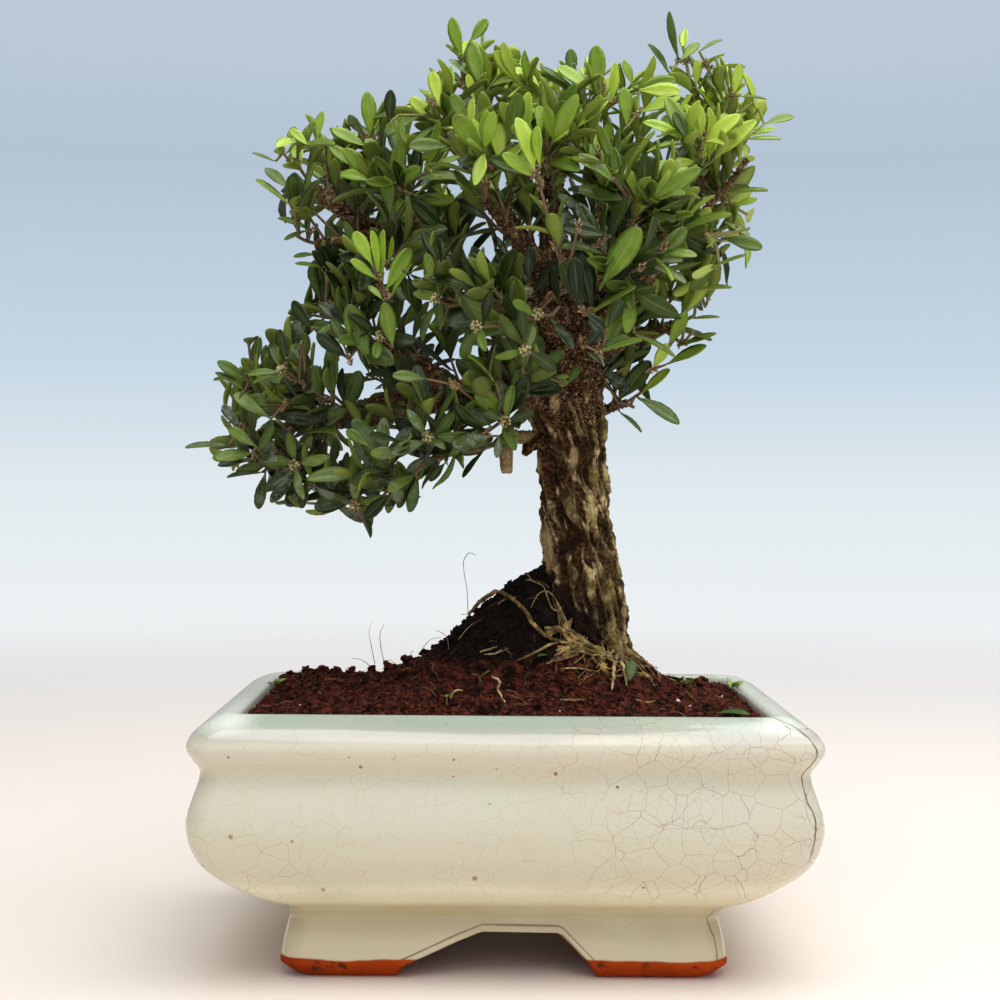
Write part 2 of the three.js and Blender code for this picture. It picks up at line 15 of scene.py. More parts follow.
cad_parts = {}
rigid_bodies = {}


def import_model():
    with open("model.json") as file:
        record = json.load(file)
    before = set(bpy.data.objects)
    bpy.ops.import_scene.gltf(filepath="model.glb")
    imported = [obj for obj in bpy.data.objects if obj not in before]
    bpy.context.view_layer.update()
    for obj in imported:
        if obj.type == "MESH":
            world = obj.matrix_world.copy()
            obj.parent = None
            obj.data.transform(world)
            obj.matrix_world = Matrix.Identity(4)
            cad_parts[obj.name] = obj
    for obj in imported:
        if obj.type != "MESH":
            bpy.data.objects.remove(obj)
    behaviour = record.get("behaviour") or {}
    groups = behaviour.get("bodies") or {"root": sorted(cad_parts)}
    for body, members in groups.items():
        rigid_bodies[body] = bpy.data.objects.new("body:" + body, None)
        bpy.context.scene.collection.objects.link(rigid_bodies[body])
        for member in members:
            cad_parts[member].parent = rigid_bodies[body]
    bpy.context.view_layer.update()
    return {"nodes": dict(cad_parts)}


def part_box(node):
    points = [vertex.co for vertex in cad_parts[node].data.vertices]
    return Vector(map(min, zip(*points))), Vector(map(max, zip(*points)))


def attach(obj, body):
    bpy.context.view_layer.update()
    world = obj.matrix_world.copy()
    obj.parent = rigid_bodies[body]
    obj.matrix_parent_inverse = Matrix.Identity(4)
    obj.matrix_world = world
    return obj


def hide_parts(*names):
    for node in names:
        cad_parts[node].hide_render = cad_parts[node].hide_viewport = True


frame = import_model()
pot_low, pot_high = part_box("pot")
POT_MIDDLE = np.array([(pot_low[0] + pot_high[0]) / 2, (pot_low[1] + pot_high[1]) / 2, 0])
print("nodes:", len(frame["nodes"]), "pot middle:", POT_MIDDLE)


def in_metres(points):
    return np.asarray(points, float) / 1000 + POT_MIDDLE


def in_millimetres(points):
    return (np.asarray(points, float) - POT_MIDDLE) * 1000


# %% [markdown]
# ## The camera
# The camera stands where the photographer stood.
# Its place could be guessed by eye.  Here it was solved from the pot, whose corners and
# feet are known in millimetres, and it stays fixed from now on.

# %% Camera
CAMERA_PLACE = (-5.04, -542.1, 139.7)
CAMERA_LENS, SENSOR = 63.77, 36  # millimetres
PICTURE = 1000  # pixels a side
CAMERA_TILT = (-0.34, 90 - 0.61, 0.43)  # degrees about Z, X and the line of sight
camera = bpy.data.objects.new("camera", bpy.data.cameras.new("camera"))
bpy.context.scene.collection.objects.link(camera)
camera.data.lens = CAMERA_LENS
camera.data.sensor_width = SENSOR
camera.data.clip_start = 0.01
camera_turn = (
    Matrix.Rotation(math.radians(CAMERA_TILT[0]), 3, "Z")
    @ Matrix.Rotation(math.radians(CAMERA_TILT[1]), 3, "X")
    @ Matrix.Rotation(math.radians(CAMERA_TILT[2]), 3, "Z")
)
camera.matrix_world = Matrix.Translation(in_metres(CAMERA_PLACE)) @ camera_turn.to_4x4()
bpy.context.scene.camera = camera
bpy.context.scene.view_settings.view_transform = "Standard"


def ray_through(px, py):
    """The direction in which the camera sees a pixel of the square picture."""
    focal, half = CAMERA_LENS / SENSOR * PICTURE, PICTURE / 2
    return np.array(camera_turn @ Vector((px - half, half - py, -focal)).normalized())


def seen_at(px, py, y):
    """The place that shows at a pixel and lies at a depth y."""
    way = ray_through(px, py)
    return np.array(CAMERA_PLACE) + way * (y - CAMERA_PLACE[1]) / way[1]


def pixel_of(spot):
    x, y, z = camera_turn.transposed() @ Vector(spot - np.array(CAMERA_PLACE))
    focal, half = CAMERA_LENS / SENSOR * PICTURE, PICTURE / 2
    return half - x / z * focal, half + y / z * focal


def pixels_apart(spot, px, py):
    x, y = pixel_of(spot)
    return math.hypot(x - px, y - py)


# %% [markdown]
# ## Helpers for meshes
# Nearly everything here is a skin over rings or rows of points: the pot, the trunk, the
# roots.  A few small functions keep the pieces short.  Every mesh is made at its real
# place with its object at the origin, so patterns on Object coordinates stay still.

# %% Meshes from rows of points
def new_piece(name, points, faces, material=None, edges=()):
    mesh = bpy.data.meshes.new(name)
    mesh.from_pydata(in_metres(points).tolist(), list(edges), faces)
    mesh.update()
    mesh.shade_smooth()
    piece = bpy.data.objects.new(name, mesh)
    bpy.context.scene.collection.objects.link(piece)
    if material:
        mesh.materials.append(material)
    return piece


def paint(piece, label, values, kind="FLOAT"):
    """Stores one value a vertex under a name that a material or a node tree can read."""
    layer = piece.data.attributes.new(label, kind, "POINT")
    layer.data.foreach_set("value", np.asarray(values, np.float32).ravel())


def ring_faces(rings, count):
    """Quads between rings that each hold count points, and a flat face on both ends."""
    faces = []
    for first in range(0, (rings - 1) * count, count):
        for j in range(count):
            a, b = first + j, first + (j + 1) % count
            faces.append((a, b, b + count, a + count))
    last = (rings - 1) * count
    return faces + [tuple(reversed(range(count))), tuple(range(last, last + count))]


def smooth_line(line, count):
    """A centripetal Catmull-Rom curve through rows of numbers, the first three a place."""
    rows = np.asarray(line, float)
    rows = np.vstack([2 * rows[0] - rows[1], rows, 2 * rows[-1] - rows[-2]])
    out = []
    for place in np.linspace(0, len(rows) - 3, count):
        k = min(int(place), len(rows) - 4)
        t = place - k
        a, b, c, d = rows[k:k + 4]
        steps = [max(np.linalg.norm((q - p)[:3]) ** 0.5, 1e-6) for p, q in ((a, b), (b, c), (c, d))]
        start = (b - a) / steps[0] - (c - a) / (steps[0] + steps[1]) + (c - b) / steps[1]
        stop = (c - b) / steps[1] - (d - b) / (steps[1] + steps[2]) + (d - c) / steps[2]
        start, stop = start * steps[1], stop * steps[1]
        out.append(
            b + start * t + (3 * (c - b) - 2 * start - stop) * t**2
            + (2 * (b - c) + start + stop) * t**3
        )
    return np.array(out)


def frames_along(centres):
    """Two directions across a line at each of its points, without sudden turns."""
    tangents = np.gradient(centres, axis=0)
    tangents /= np.linalg.norm(tangents, axis=1, keepdims=True)
    side = np.array([1.0, 0, 0]) if abs(tangents[0][1]) > 0.8 else np.array([0, 1.0, 0])
    sides = []
    for tangent in tangents:
        side = side - tangent * side.dot(tangent)
        side /= np.linalg.norm(side)
        sides.append(side)
    sides = np.array(sides)
    return sides, np.cross(tangents, sides)


def tube(line, sides, swell=None):
    """Points and faces of a limb along rows of x, y, z and radius."""
    line = np.asarray(line, float)
    across, over = frames_along(line[:, :3])
    angles = np.linspace(0, 2 * math.pi, sides, endpoint=False)
    rings = []
    for i, row in enumerate(line):
        radii = row[3] * np.ones(sides)
        if swell is not None:
            radii = radii + swell(angles, row[:3])
        rings.append(
            row[:3] + radii[:, None]
            * (np.cos(angles)[:, None] * across[i] + np.sin(angles)[:, None] * over[i])
        )
    return np.vstack(rings), ring_faces(len(line), sides)


def gathered(shapes):
    """Many (points, faces) as one."""
    points, faces, first = [], [], 0
    for some, quads in shapes:
        points.append(some)
        faces += [tuple(first + k for k in quad) for quad in quads]
        first += len(some)
    return np.vstack(points), faces


def plain_mesh(piece):
    """Keeps what a piece's modifiers make as its own mesh."""
    graph = bpy.context.evaluated_depsgraph_get()
    mesh = bpy.data.meshes.new_from_object(
        piece.evaluated_get(graph), preserve_all_data_layers=True, depsgraph=graph)
    piece.modifiers.clear()
    piece.data = mesh
    mesh.name = piece.name


def wave(place, size, seed=0.0):
    """Soft noise from -1 to 1 whose bumps are about size millimetres apart."""
    return noise.noise(Vector(place) / size + Vector((seed, 1.7 * seed, -seed)))


def waves(spots, *terms):
    """The sum of several noises at each spot; a term is strength, size and seed."""
    return np.array([sum(strength * wave(spot, size, seed) for strength, size, seed in terms)
                     for spot in spots])


def copy_of(piece, name):
    """A second piece with a mesh of its own, for a tree to grow on."""
    twin = piece.copy()
    twin.data, twin.name = piece.data.copy(), name
    bpy.context.scene.collection.objects.link(twin)
    return twin


# %% [markdown]
# ## Helpers for node trees
# A shader tree and a geometry tree are wired alike: make a node, set or link its inputs,
# take its output.  One function does that, and a few more name the steps used most.

# %% Nodes and links
def node(tree, kind, inputs=(), **settings):
    made = tree.nodes.new(kind)
    for key, value in settings.items():
        setattr(made, key, value)
    for key, value in dict(inputs).items():
        if isinstance(value, bpy.types.NodeSocket):
            tree.links.new(value, made.inputs[key])
        else:
            made.inputs[key].default_value = value
    return made


def calc(tree, operation, a, b=0.0, clamp=False):
    made = node(tree, "ShaderNodeMath", {0: a, 1: b}, operation=operation, use_clamp=clamp)
    return made.outputs[0]


def times(tree, a, b):
    return calc(tree, "MULTIPLY", a, b)


def plus(tree, a, b, clamp=False):
    return calc(tree, "ADD", a, b, clamp)


def minus(tree, a, b):
    return calc(tree, "SUBTRACT", a, b)


def vector_calc(tree, operation, a, b=(0.0, 0.0, 0.0)):
    made = node(tree, "ShaderNodeVectorMath", {0: a, 1: b}, operation=operation)
    return made.outputs["Value" if operation in ("DISTANCE", "LENGTH") else "Vector"]


def axes(tree, vector):
    return node(tree, "ShaderNodeSeparateXYZ", {"Vector": vector}).outputs


def step_up(tree, value, low, high, top=1.0, bottom=0.0):
    """A soft step from bottom to top while value goes from low to high."""
    made = node(
        tree, "ShaderNodeMapRange", interpolation_type="SMOOTHSTEP",
        inputs={"Value": value, "From Min": low, "From Max": high, "To Min": bottom, "To Max": top},
    )
    return made.outputs[0]


def tinted(tree, share, a, b):
    """Colour a with a share of colour b laid over it."""
    return node(tree, "ShaderNodeMix", {0: share, 6: a, 7: b}, data_type="RGBA").outputs[2]


def colour(red, green, blue):
    return (red, green, blue, 1.0)


def base_colour(tree, shader, tone):
    tree.links.new(tone, shader.inputs["Base Color"])


def layer(tree, base, mask, strength, tone):
    """Lays a tone over a base colour where a mask is set, as strongly as said."""
    return tinted(tree, times(tree, mask, strength), base, colour(*tone))


def attribute(tree, label):
    return node(tree, "ShaderNodeAttribute", attribute_name=label).outputs["Fac"]


def noise_mask(tree, where, scale, detail=3.0, roughness=0.5):
    made = node(
        tree, "ShaderNodeTexNoise",
        {"Vector": where, "Scale": scale, "Detail": detail, "Roughness": roughness},
    )
    return made.outputs["Fac"]


def colour_ramp(tree, value, stops):
    ramp = node(tree, "ShaderNodeValToRGB", {"Fac": value})
    while len(ramp.color_ramp.elements) < len(stops):
        ramp.color_ramp.elements.new(0.5)
    for element, (position, tone) in zip(ramp.color_ramp.elements, stops):
        element.position = position
        element.color = (*tone, 1)
    return ramp.outputs["Color"]


def new_material(name, **settings):
    """A material with its Principled shader, ready for links into it."""
    material = bpy.data.materials.new(name)
    material.use_nodes = True
    shader = material.node_tree.nodes["Principled BSDF"]
    for key, value in settings.items():
        shader.inputs[key.replace("_", " ")].default_value = value
    where = node(material.node_tree, "ShaderNodeTexCoord").outputs["Object"]
    return material, material.node_tree, shader, where


def new_group(name, inputs, outputs, kind="ShaderNodeTree"):
    """A node tree with named sockets, and its input and output nodes."""
    tree = bpy.data.node_groups.new(name, kind)
    for label, socket, value in inputs:
        made = tree.interface.new_socket(name=label, in_out="INPUT", socket_type=socket)
        if value is not None:
            made.default_value = value
    for label, socket in outputs:
        tree.interface.new_socket(name=label, in_out="OUTPUT", socket_type=socket)
    return tree, tree.nodes.new("NodeGroupInput").outputs, tree.nodes.new("NodeGroupOutput").inputs


def use_group(tree, group, **values):
    return node(tree, "ShaderNodeGroup", values, node_tree=group).outputs


# %% [markdown]
# ## Effects that several finishes share
# Glaze, soil, bark and leaves all show three things: slow patches of another tone, small
# round dots, and a fine roughness.  Each is a node group with its own sizes as inputs,
# so one good pattern serves every material.

# %% Shared effects
MOTTLE, source, result = new_group(
    "Mottle",
    [("Vector", "NodeSocketVector", None), ("Scale", "NodeSocketFloat", 100.0),
     ("Low", "NodeSocketFloat", 0.4), ("High", "NodeSocketFloat", 0.6)],
    [("Mask", "NodeSocketFloat")],
)
patches = noise_mask(MOTTLE, source["Vector"], source["Scale"], 4, 0.6)
MOTTLE.links.new(step_up(MOTTLE, patches, source["Low"], source["High"]), result["Mask"])

DOTS, source, result = new_group(
    "Dots",
    [("Vector", "NodeSocketVector", None), ("Scale", "NodeSocketFloat", 300.0),
     ("Size", "NodeSocketFloat", 0.2), ("Share", "NodeSocketFloat", 0.3)],
    [("Mask", "NodeSocketFloat")],
)
cells = node(DOTS, "ShaderNodeTexVoronoi", {"Vector": source["Vector"], "Scale": source["Scale"]})
small = times(DOTS, source["Size"], 0.5)
round_dots = step_up(DOTS, cells.outputs["Distance"], source["Size"], small)
chosen = node(DOTS, "ShaderNodeSeparateColor", {"Color": cells.outputs["Color"]}).outputs["Red"]
chosen = calc(DOTS, "LESS_THAN", chosen, source["Share"])
DOTS.links.new(times(DOTS, round_dots, chosen), result["Mask"])

CRUMB, source, result = new_group(
    "Crumb",
    [("Vector", "NodeSocketVector", None), ("Scale", "NodeSocketFloat", 500.0),
     ("Depth", "NodeSocketFloat", 0.0003)],
    [("Height", "NodeSocketFloat")],
)
fine = noise_mask(CRUMB, source["Vector"], source["Scale"], 5, 0.65)
lumps = node(CRUMB, "ShaderNodeTexVoronoi", {"Vector": source["Vector"], "Scale": source["Scale"]})
both = minus(CRUMB, fine, times(CRUMB, lumps.outputs["Distance"], 0.5))
CRUMB.links.new(times(CRUMB, both, source["Depth"]), result["Height"])
print("shared effects:", [group.name for group in (MOTTLE, DOTS, CRUMB)])


def mottle(tree, where, scale, low, high):
    return use_group(tree, MOTTLE, Vector=where, Scale=scale, Low=low, High=high)["Mask"]


def dots(tree, where, scale, size, share):
    return use_group(tree, DOTS, Vector=where, Scale=scale, Size=size, Share=share)["Mask"]


def crumb_height(tree, where, scale, depth):
    return use_group(tree, CRUMB, Vector=where, Scale=scale, Depth=depth)["Height"]


def bumpy(tree, shader, height, strength=1.0):
    """Feeds a height in metres to a shader's normal."""
    made = node(tree, "ShaderNodeBump", {"Height": height, "Strength": strength, "Distance": 1.0})
    tree.links.new(made.outputs["Normal"], shader.inputs["Normal"])


# %% [markdown]
# ## The pot
# The pot was pressed in a mould: every level is a rectangle with round corners, wide at
# the belly, pinched under the rim and drawn in over the feet.  A lathe can't make it, so
# it is a skin over nearly a hundred such levels.  Between the feet the lowest levels are
# pushed up along the cut arches, which keeps the edges soft, as glaze leaves them.

# %% Outline of the pot
HALF_WIDTH, HALF_DEPTH, CORNER = 87.5, 65.0, 7.0
WALL = 13.5
SHOULDER = [  # height, inset from the sides, inset from front and back
    (17, 26.7, 20), (19.5, 24.8, 18.5), (22, 19, 14.5), (24.7, 13.8, 11.5), (32, 4.9, 4.7),
    (38, 1.4, 1.4), (46, 0, 0), (59.5, 3.4, 3.4), (62.5, 1.8, 1.8), (66.5, 0, 0), (70.5, 1.8, 1.8),
    (74, 7.5, 7.5), (75, 10.5, 10.5), (74.2, 12.6, 12.6), (71, WALL, WALL), (40, WALL, WALL),
    (28, 17, 17), (22, 25, 25),
]
FOOT_OUTSIDE = [(0, 28, 21), (4, 24, 17), (10, 25, 18.3), (17, 26.7, 20)]
FOOT_INSIDE = [(0, 32, 25), (2, 33, 26), (16, 36, 29)]
ARCH_OUTSIDE, ARCH_INSIDE = (0.48, (25, 18)), (0.88, (33, 26))  # share of the depth, insets
LIP = 0.5  # the rounded edge along the cuts
BELLY_LEVEL = 60  # a level that runs once round the widest part
LONG_ARCH = [(-35, -2), (-31.5, 3.5), (-15, 12), (-7, 15), (17.7, 14.6), (27.5, 3.5), (31, -2)]
LONG_ARCH_DEEP = [(-31, -2), (-27, 2.5), (-13, 8), (-6, 11), (15, 10.8), (23.5, 2.5), (26, -2)]
SHORT_ARCH = [(-20, -2), (-16, 3.5), (-8, 13.5), (8, 13.5), (16, 3.5), (20, -2)]
SHORT_ARCH_DEEP = [(-16, -2), (-12, 2.5), (-6, 10), (6, 10), (12, 2.5), (16, -2)]


def arch_height(long_side, share, along):
    """How high the foot is cut away at a place along a side; share is the depth."""
    outside, inside = (LONG_ARCH, LONG_ARCH_DEEP) if long_side else (SHORT_ARCH, SHORT_ARCH_DEEP)
    line = (1 - share) * np.array(outside) + share * np.array(inside)
    return max(0.0, float(np.interp(along, line[:, 0], line[:, 1], left=-2, right=-2)))


def inset_at(rows, z):
    table = np.array(rows, float)
    return np.array([np.interp(z, table[:, 0], table[:, k]) for k in (1, 2)])


def ring_plan(long_parts, short_parts, corner_parts):
    """Points of a rounded rectangle: corner centre signs, offset, and place along a side."""
    plan = []
    quarter = math.pi / 2
    for corner in range(4):
        sign_x = 1 if corner in (0, 3) else -1
        sign_y = 1 if corner < 2 else -1
        for step in range(corner_parts + 1):
            angle = quarter * (corner + step / corner_parts)
            offset = CORNER * np.array([math.cos(angle), math.sin(angle)])
            plan.append(("corner", (sign_x, sign_y), offset, 0.0))
        next_x = 1 if (corner + 1) % 4 in (0, 3) else -1
        next_y = 1 if (corner + 1) % 4 < 2 else -1
        parts = long_parts if corner % 2 == 0 else short_parts
        for k in range(1, parts):
            share = k / parts
            signs = (sign_x + (next_x - sign_x) * share, sign_y + (next_y - sign_y) * share)
            side = "long" if corner % 2 == 0 else "short"
            plan.append((side, signs, offset, share))
    return plan


PLAN = ring_plan(72, 46, 9)


def ring_point(entry, inset):
    _, signs, offset, _ = entry
    half = np.array([HALF_WIDTH, HALF_DEPTH]) - inset - CORNER
    return np.array([signs[0] * half[0], signs[1] * half[1]]) + offset


def arch_at(entry, share, inset):
    """The height of the cut above one point of a ring."""
    kind = entry[0]
    if kind == "corner":
        return 0.0
    x, y = ring_point(entry, inset)
    if kind == "long":
        return arch_height(True, share, x if y < 0 else -x)
    return arch_height(False, share, -y if x < 0 else y)


def pot_levels():
    """Every level as rows of x, y, z, height over the cut edge, and bareness."""
    levels = []
    cuts_out, cuts_in = [[arch_at(entry, share, np.array(inset)) for entry in PLAN]
                         for share, inset in (ARCH_OUTSIDE, ARCH_INSIDE)]
    for t in np.linspace(1, 0, 9):
        rows = []
        for entry, cut in zip(PLAN, cuts_in):
            z = cut + LIP + t * (FOOT_INSIDE[-1][0] - cut - LIP)
            x, y = ring_point(entry, inset_at(FOOT_INSIDE, z))
            rows.append((x, y, z, -3.0, 1.0))
        levels.append(rows)
    for s in (0.02, 0.12, 0.35, 0.65, 0.88, 0.98):
        rows = []
        for entry, low, high in zip(PLAN, cuts_in, cuts_out):
            z = low + (high - low) * s + (0.18 if s in (0.02, 0.98) else 0.0)
            inset = inset_at(FOOT_INSIDE, low) * (1 - s) + inset_at(FOOT_OUTSIDE, high) * s
            x, y = ring_point(entry, inset)
            bare = 1.0 if low < 3 else 0.0
            rows.append((x, y, z, -0.1 - 3 * (1 - s), max(bare, 1 - s)))
        levels.append(rows)
    for t in np.linspace(0, 1, 15)[:-1]:
        rows = []
        for entry, cut in zip(PLAN, cuts_out):
            z = cut + LIP + t**1.3 * (FOOT_OUTSIDE[-1][0] - cut - LIP)
            x, y = ring_point(entry, inset_at(FOOT_OUTSIDE, z))
            rows.append((x, y, z, z - cut, 0.0))
        levels.append(rows)
    for z, inset_x, inset_y in smooth_line(SHOULDER, 1 + 4 * (len(SHOULDER) - 1)):
        inset = np.array([inset_x, inset_y])
        levels.append([(*ring_point(entry, inset), z, 20.0, 0.0) for entry in PLAN])
    return np.array(levels)


POT_LEVELS = pot_levels()
print("pot levels:", POT_LEVELS.shape)

# %% [markdown]
# ### The glaze
# The glaze is a milky celadon.  It pools blue-green in the hollow under the rim and on
# the top, thins to warm cream on the belly, and is crazed with fine brown cracks, most
# of all on the right.  Its colour by height also holds painted light and shade: the
# down-facing underside of the belly is painted lighter against its shade, the hollow
# over the feet is painted darker as shade, and the two ends of the rim top are painted
# lighter as a highlight.  Below the feet it ends in a wavy line over red clay, which is
# painted darker on the left foot as shade.  Image textures could carry all this, but
# masks from height, noise and cells keep it sharp at any distance.  Two maps help: one
# counts millimetres round the pot, for the seam line on the corner, and one gives the
# distance from the cut edges.

# %% Glaze and clay
glaze, tree, shader, where = new_material(
    "celadon_glaze", Roughness=0.16, Coat_Weight=0.6, Coat_Roughness=0.04, IOR=1.5)
place = axes(tree, where)
height = times(tree, place["Z"], 1000.0)
sideways = times(tree, place["X"], 1000.0)
shift = times(tree, minus(tree, noise_mask(tree, where, 25, 2), 0.5), 5.0)
level = calc(tree, "DIVIDE", plus(tree, height, shift), 76.0, clamp=True)
# Partly the glaze and partly painted light and shade: the stops from 0.295 to 0.36 are lighter to
# offset the shade on the down-facing underside of the belly, and the stops from 0.167 to 0.24 are
# darker as painted shade in the hollow over the feet.
GLAZE_AND_PAINTED_LIGHT_BY_HEIGHT = [
    (0.05, (0.59, 0.53, 0.36)), (0.13, (0.57, 0.51, 0.345)), (0.167, (0.50, 0.435, 0.28)),
    (0.204, (0.465, 0.40, 0.245)), (0.24, (0.455, 0.40, 0.23)), (0.265, (0.53, 0.475, 0.29)),
    (0.295, (0.71, 0.67, 0.45)), (0.36, (0.77, 0.75, 0.575)), (0.40, (0.635, 0.61, 0.465)),
    (0.44, (0.60, 0.575, 0.435)), (0.51, (0.61, 0.595, 0.465)), (0.65, (0.575, 0.56, 0.455)),
    (0.73, (0.60, 0.59, 0.475)), (0.765, (0.565, 0.55, 0.435)), (0.79, (0.595, 0.56, 0.42)),
    (0.85, (0.62, 0.59, 0.46)), (0.90, (0.60, 0.575, 0.465)), (0.93, (0.455, 0.44, 0.375)),
    (0.97, (0.39, 0.46, 0.37)), (1.0, (0.42, 0.50, 0.42)),
]
skin = colour_ramp(tree, level, GLAZE_AND_PAINTED_LIGHT_BY_HEIGHT)
# Painted highlight: the two ends of the rim top are lightened towards pale green-white.
rim_ends_painted_highlight = times(tree, step_up(tree, level, 0.93, 0.98),
                 step_up(tree, calc(tree, "ABSOLUTE", minus(tree, sideways, 5.0)), 66.0, 76.0))
skin = tinted(tree, rim_ends_painted_highlight, skin, colour(0.74, 0.80, 0.71))
pools = mottle(tree, where, 32.0, 0.5, 0.72)
skin = layer(tree, skin, pools, 0.28, (0.53, 0.57, 0.41))
warm = mottle(tree, where, 18.0, 0.52, 0.75)
skin = layer(tree, skin, warm, 0.3, (0.62, 0.50, 0.33))


def crackle(size, width, wander):
    """Thin lines between cells about size millimetres wide, bent by noise."""
    bend = node(tree, "ShaderNodeTexNoise", {"Vector": where, "Scale": 120.0, "Detail": 2.0})
    bent = vector_calc(tree, "MULTIPLY", bend.outputs["Color"], (wander,) * 3)
    moved = vector_calc(tree, "ADD", where, bent)
    cells = node(tree, "ShaderNodeTexVoronoi", {"Vector": moved, "Scale": 1000.0 / size},
                 feature="DISTANCE_TO_EDGE")
    return step_up(tree, cells.outputs["Distance"], width / size, 0.25 * width / size)


right_side = times(tree, step_up(tree, sideways, 4.0, 42.0),
                   step_up(tree, height, 20.0, 27.0, 1.0, 0.25))
low_left = times(tree, step_up(tree, sideways, -20.0, -62.0), step_up(tree, height, 58.0, 36.0))
breaks = mottle(tree, where, 55.0, 0.34, 0.54)
faint = mottle(tree, where, 85.0, 0.2, 0.48)
wide_cracks = times(tree, crackle(8.0, 0.085, 0.003), times(tree, right_side, faint))
fine_cracks = times(tree, crackle(4.8, 0.07, 0.0018), times(tree, right_side, breaks))
gold = crackle(6.0, 0.08, 0.002)
gold_share = times(tree, calc(tree, "MAXIMUM", low_left, 0.5), breaks)
gold_share = times(tree, gold_share, step_up(tree, height, 20.0, 27.0, 1.0, 0.3))
skin = layer(tree, skin, wide_cracks, 0.66, (0.20, 0.12, 0.10))
skin = layer(tree, skin, fine_cracks, 0.4, (0.27, 0.17, 0.11))
skin = tinted(tree, times(tree, times(tree, gold, gold_share), 0.66), skin,
              colour(0.36, 0.20, 0.06))
iron = dots(tree, where, 95.0, 0.045, 0.22)
skin = layer(tree, skin, iron, 0.7, (0.16, 0.07, 0.03))
pin = dots(tree, where, 260.0, 0.05, 0.12)
skin = layer(tree, skin, pin, 0.55, (0.2, 0.12, 0.05))

# %% Larger iron spots, the mould seam and brown edges
IRON_SPOTS = [  # x and z in millimetres on the front, radius, strength
    (-85.8, 62, 1.1, 0.9), (-75, 64.6, 0.45, 0.8), (-39.4, 62, 0.7, 0.65), (13.5, 60.3, 0.75, 0.7),
    (-42.4, 64.8, 0.4, 0.5), (-14.2, 64.3, 0.45, 0.8), (-14.3, 59.4, 0.35, 0.8),
    (-74.2, 43.2, 0.9, 0.5), (-91.3, 47.6, 0.7, 0.7), (-83.2, 33.8, 1.2, 0.6),
    (-57.6, 42, 0.6, 0.5), (-8.3, 31.2, 1.0, 0.55), (38, 28.4, 0.5, 0.8), (30.3, 56.8, 0.6, 0.7),
    (-50, 27, 0.9, 0.45),
]
for x, z, radius, strength in IRON_SPOTS:
    flat_place = node(tree, "ShaderNodeCombineXYZ", {"X": sideways, "Z": height}).outputs[0]
    away = vector_calc(tree, "DISTANCE", flat_place, (x + POT_MIDDLE[0] * 1000, 0, z))
    front = step_up(tree, place["Y"], -0.03, -0.04)
    spot = times(tree, step_up(tree, away, radius, 0.45 * radius, min(1.25 * strength, 0.95)),
                 front)
    skin = tinted(tree, spot, skin, colour(0.19, 0.055, 0.015))
round_pot = axes(tree, node(tree, "ShaderNodeUVMap", uv_map="wall").outputs["UV"])
wobble = times(tree, minus(tree, noise_mask(tree, where, 140, 3), 0.5), 3.2)
seam_place = calc(tree, "ABSOLUTE", plus(tree, round_pot["X"], wobble))
seam_height = calc(tree, "MAXIMUM", step_up(tree, height, 33.0, 43.0),
                   step_up(tree, height, 26.0, 22.0, 0.8))
seam = times(tree, step_up(tree, seam_place, 0.42, 0.12), seam_height)
skin = layer(tree, skin, seam, 0.88, (0.13, 0.065, 0.07))
edge = attribute(tree, "over_edge")
from_lip = calc(tree, "ABSOLUTE", minus(tree, edge, 2.0))
edge_line = step_up(tree, plus(tree, from_lip, times(tree, wobble, 0.15)), 0.45, 0.1)
skin = layer(tree, skin, edge_line, 0.8, (0.17, 0.06, 0.03))
waviness = times(tree, minus(tree, noise_mask(tree, where, 60, 2), 0.5), 3.0)
clay_top = plus(tree, height, waviness)
outside_clay = step_up(tree, clay_top, 5.9, 5.3)
bare = step_up(tree, attribute(tree, "bare"), 0.35, 0.6)
clay = calc(tree, "MAXIMUM", outside_clay, bare)
grime = mottle(tree, where, 170.0, 0.56, 0.66)
clay_tone = tinted(tree, noise_mask(tree, where, 90, 3), colour(0.27, 0.026, 0.0012),
                   colour(0.50, 0.068, 0.005))
# Painted shade: the clay of the left foot is darkened, as if in shadow from light on the right.
clay_tone = tinted(tree, step_up(tree, sideways, -30.0, -70.0, 0.45), clay_tone,
                   colour(0.17, 0.016, 0.001))
clay_tone = layer(tree, clay_tone, grime, 0.85, (0.03, 0.016, 0.01))
base_colour(tree, shader, tinted(tree, clay, skin, clay_tone))
tree.links.new(step_up(tree, clay, 0, 1, 0.85, 0.2), shader.inputs["Roughness"])
tree.links.new(step_up(tree, clay, 0, 1, 0.12, 0.5), shader.inputs["Specular IOR Level"])
tree.links.new(step_up(tree, clay, 0, 1, 0.0, 0.35), shader.inputs["Coat Weight"])
ripple = times(tree, noise_mask(tree, where, 55, 2), 0.0005)
ridge = times(tree, clay, -0.0004)
grain = times(tree, crumb_height(tree, where, 900.0, 0.0003), clay)
bumpy(tree, shader, plus(tree, plus(tree, ripple, ridge), grain), 0.5)

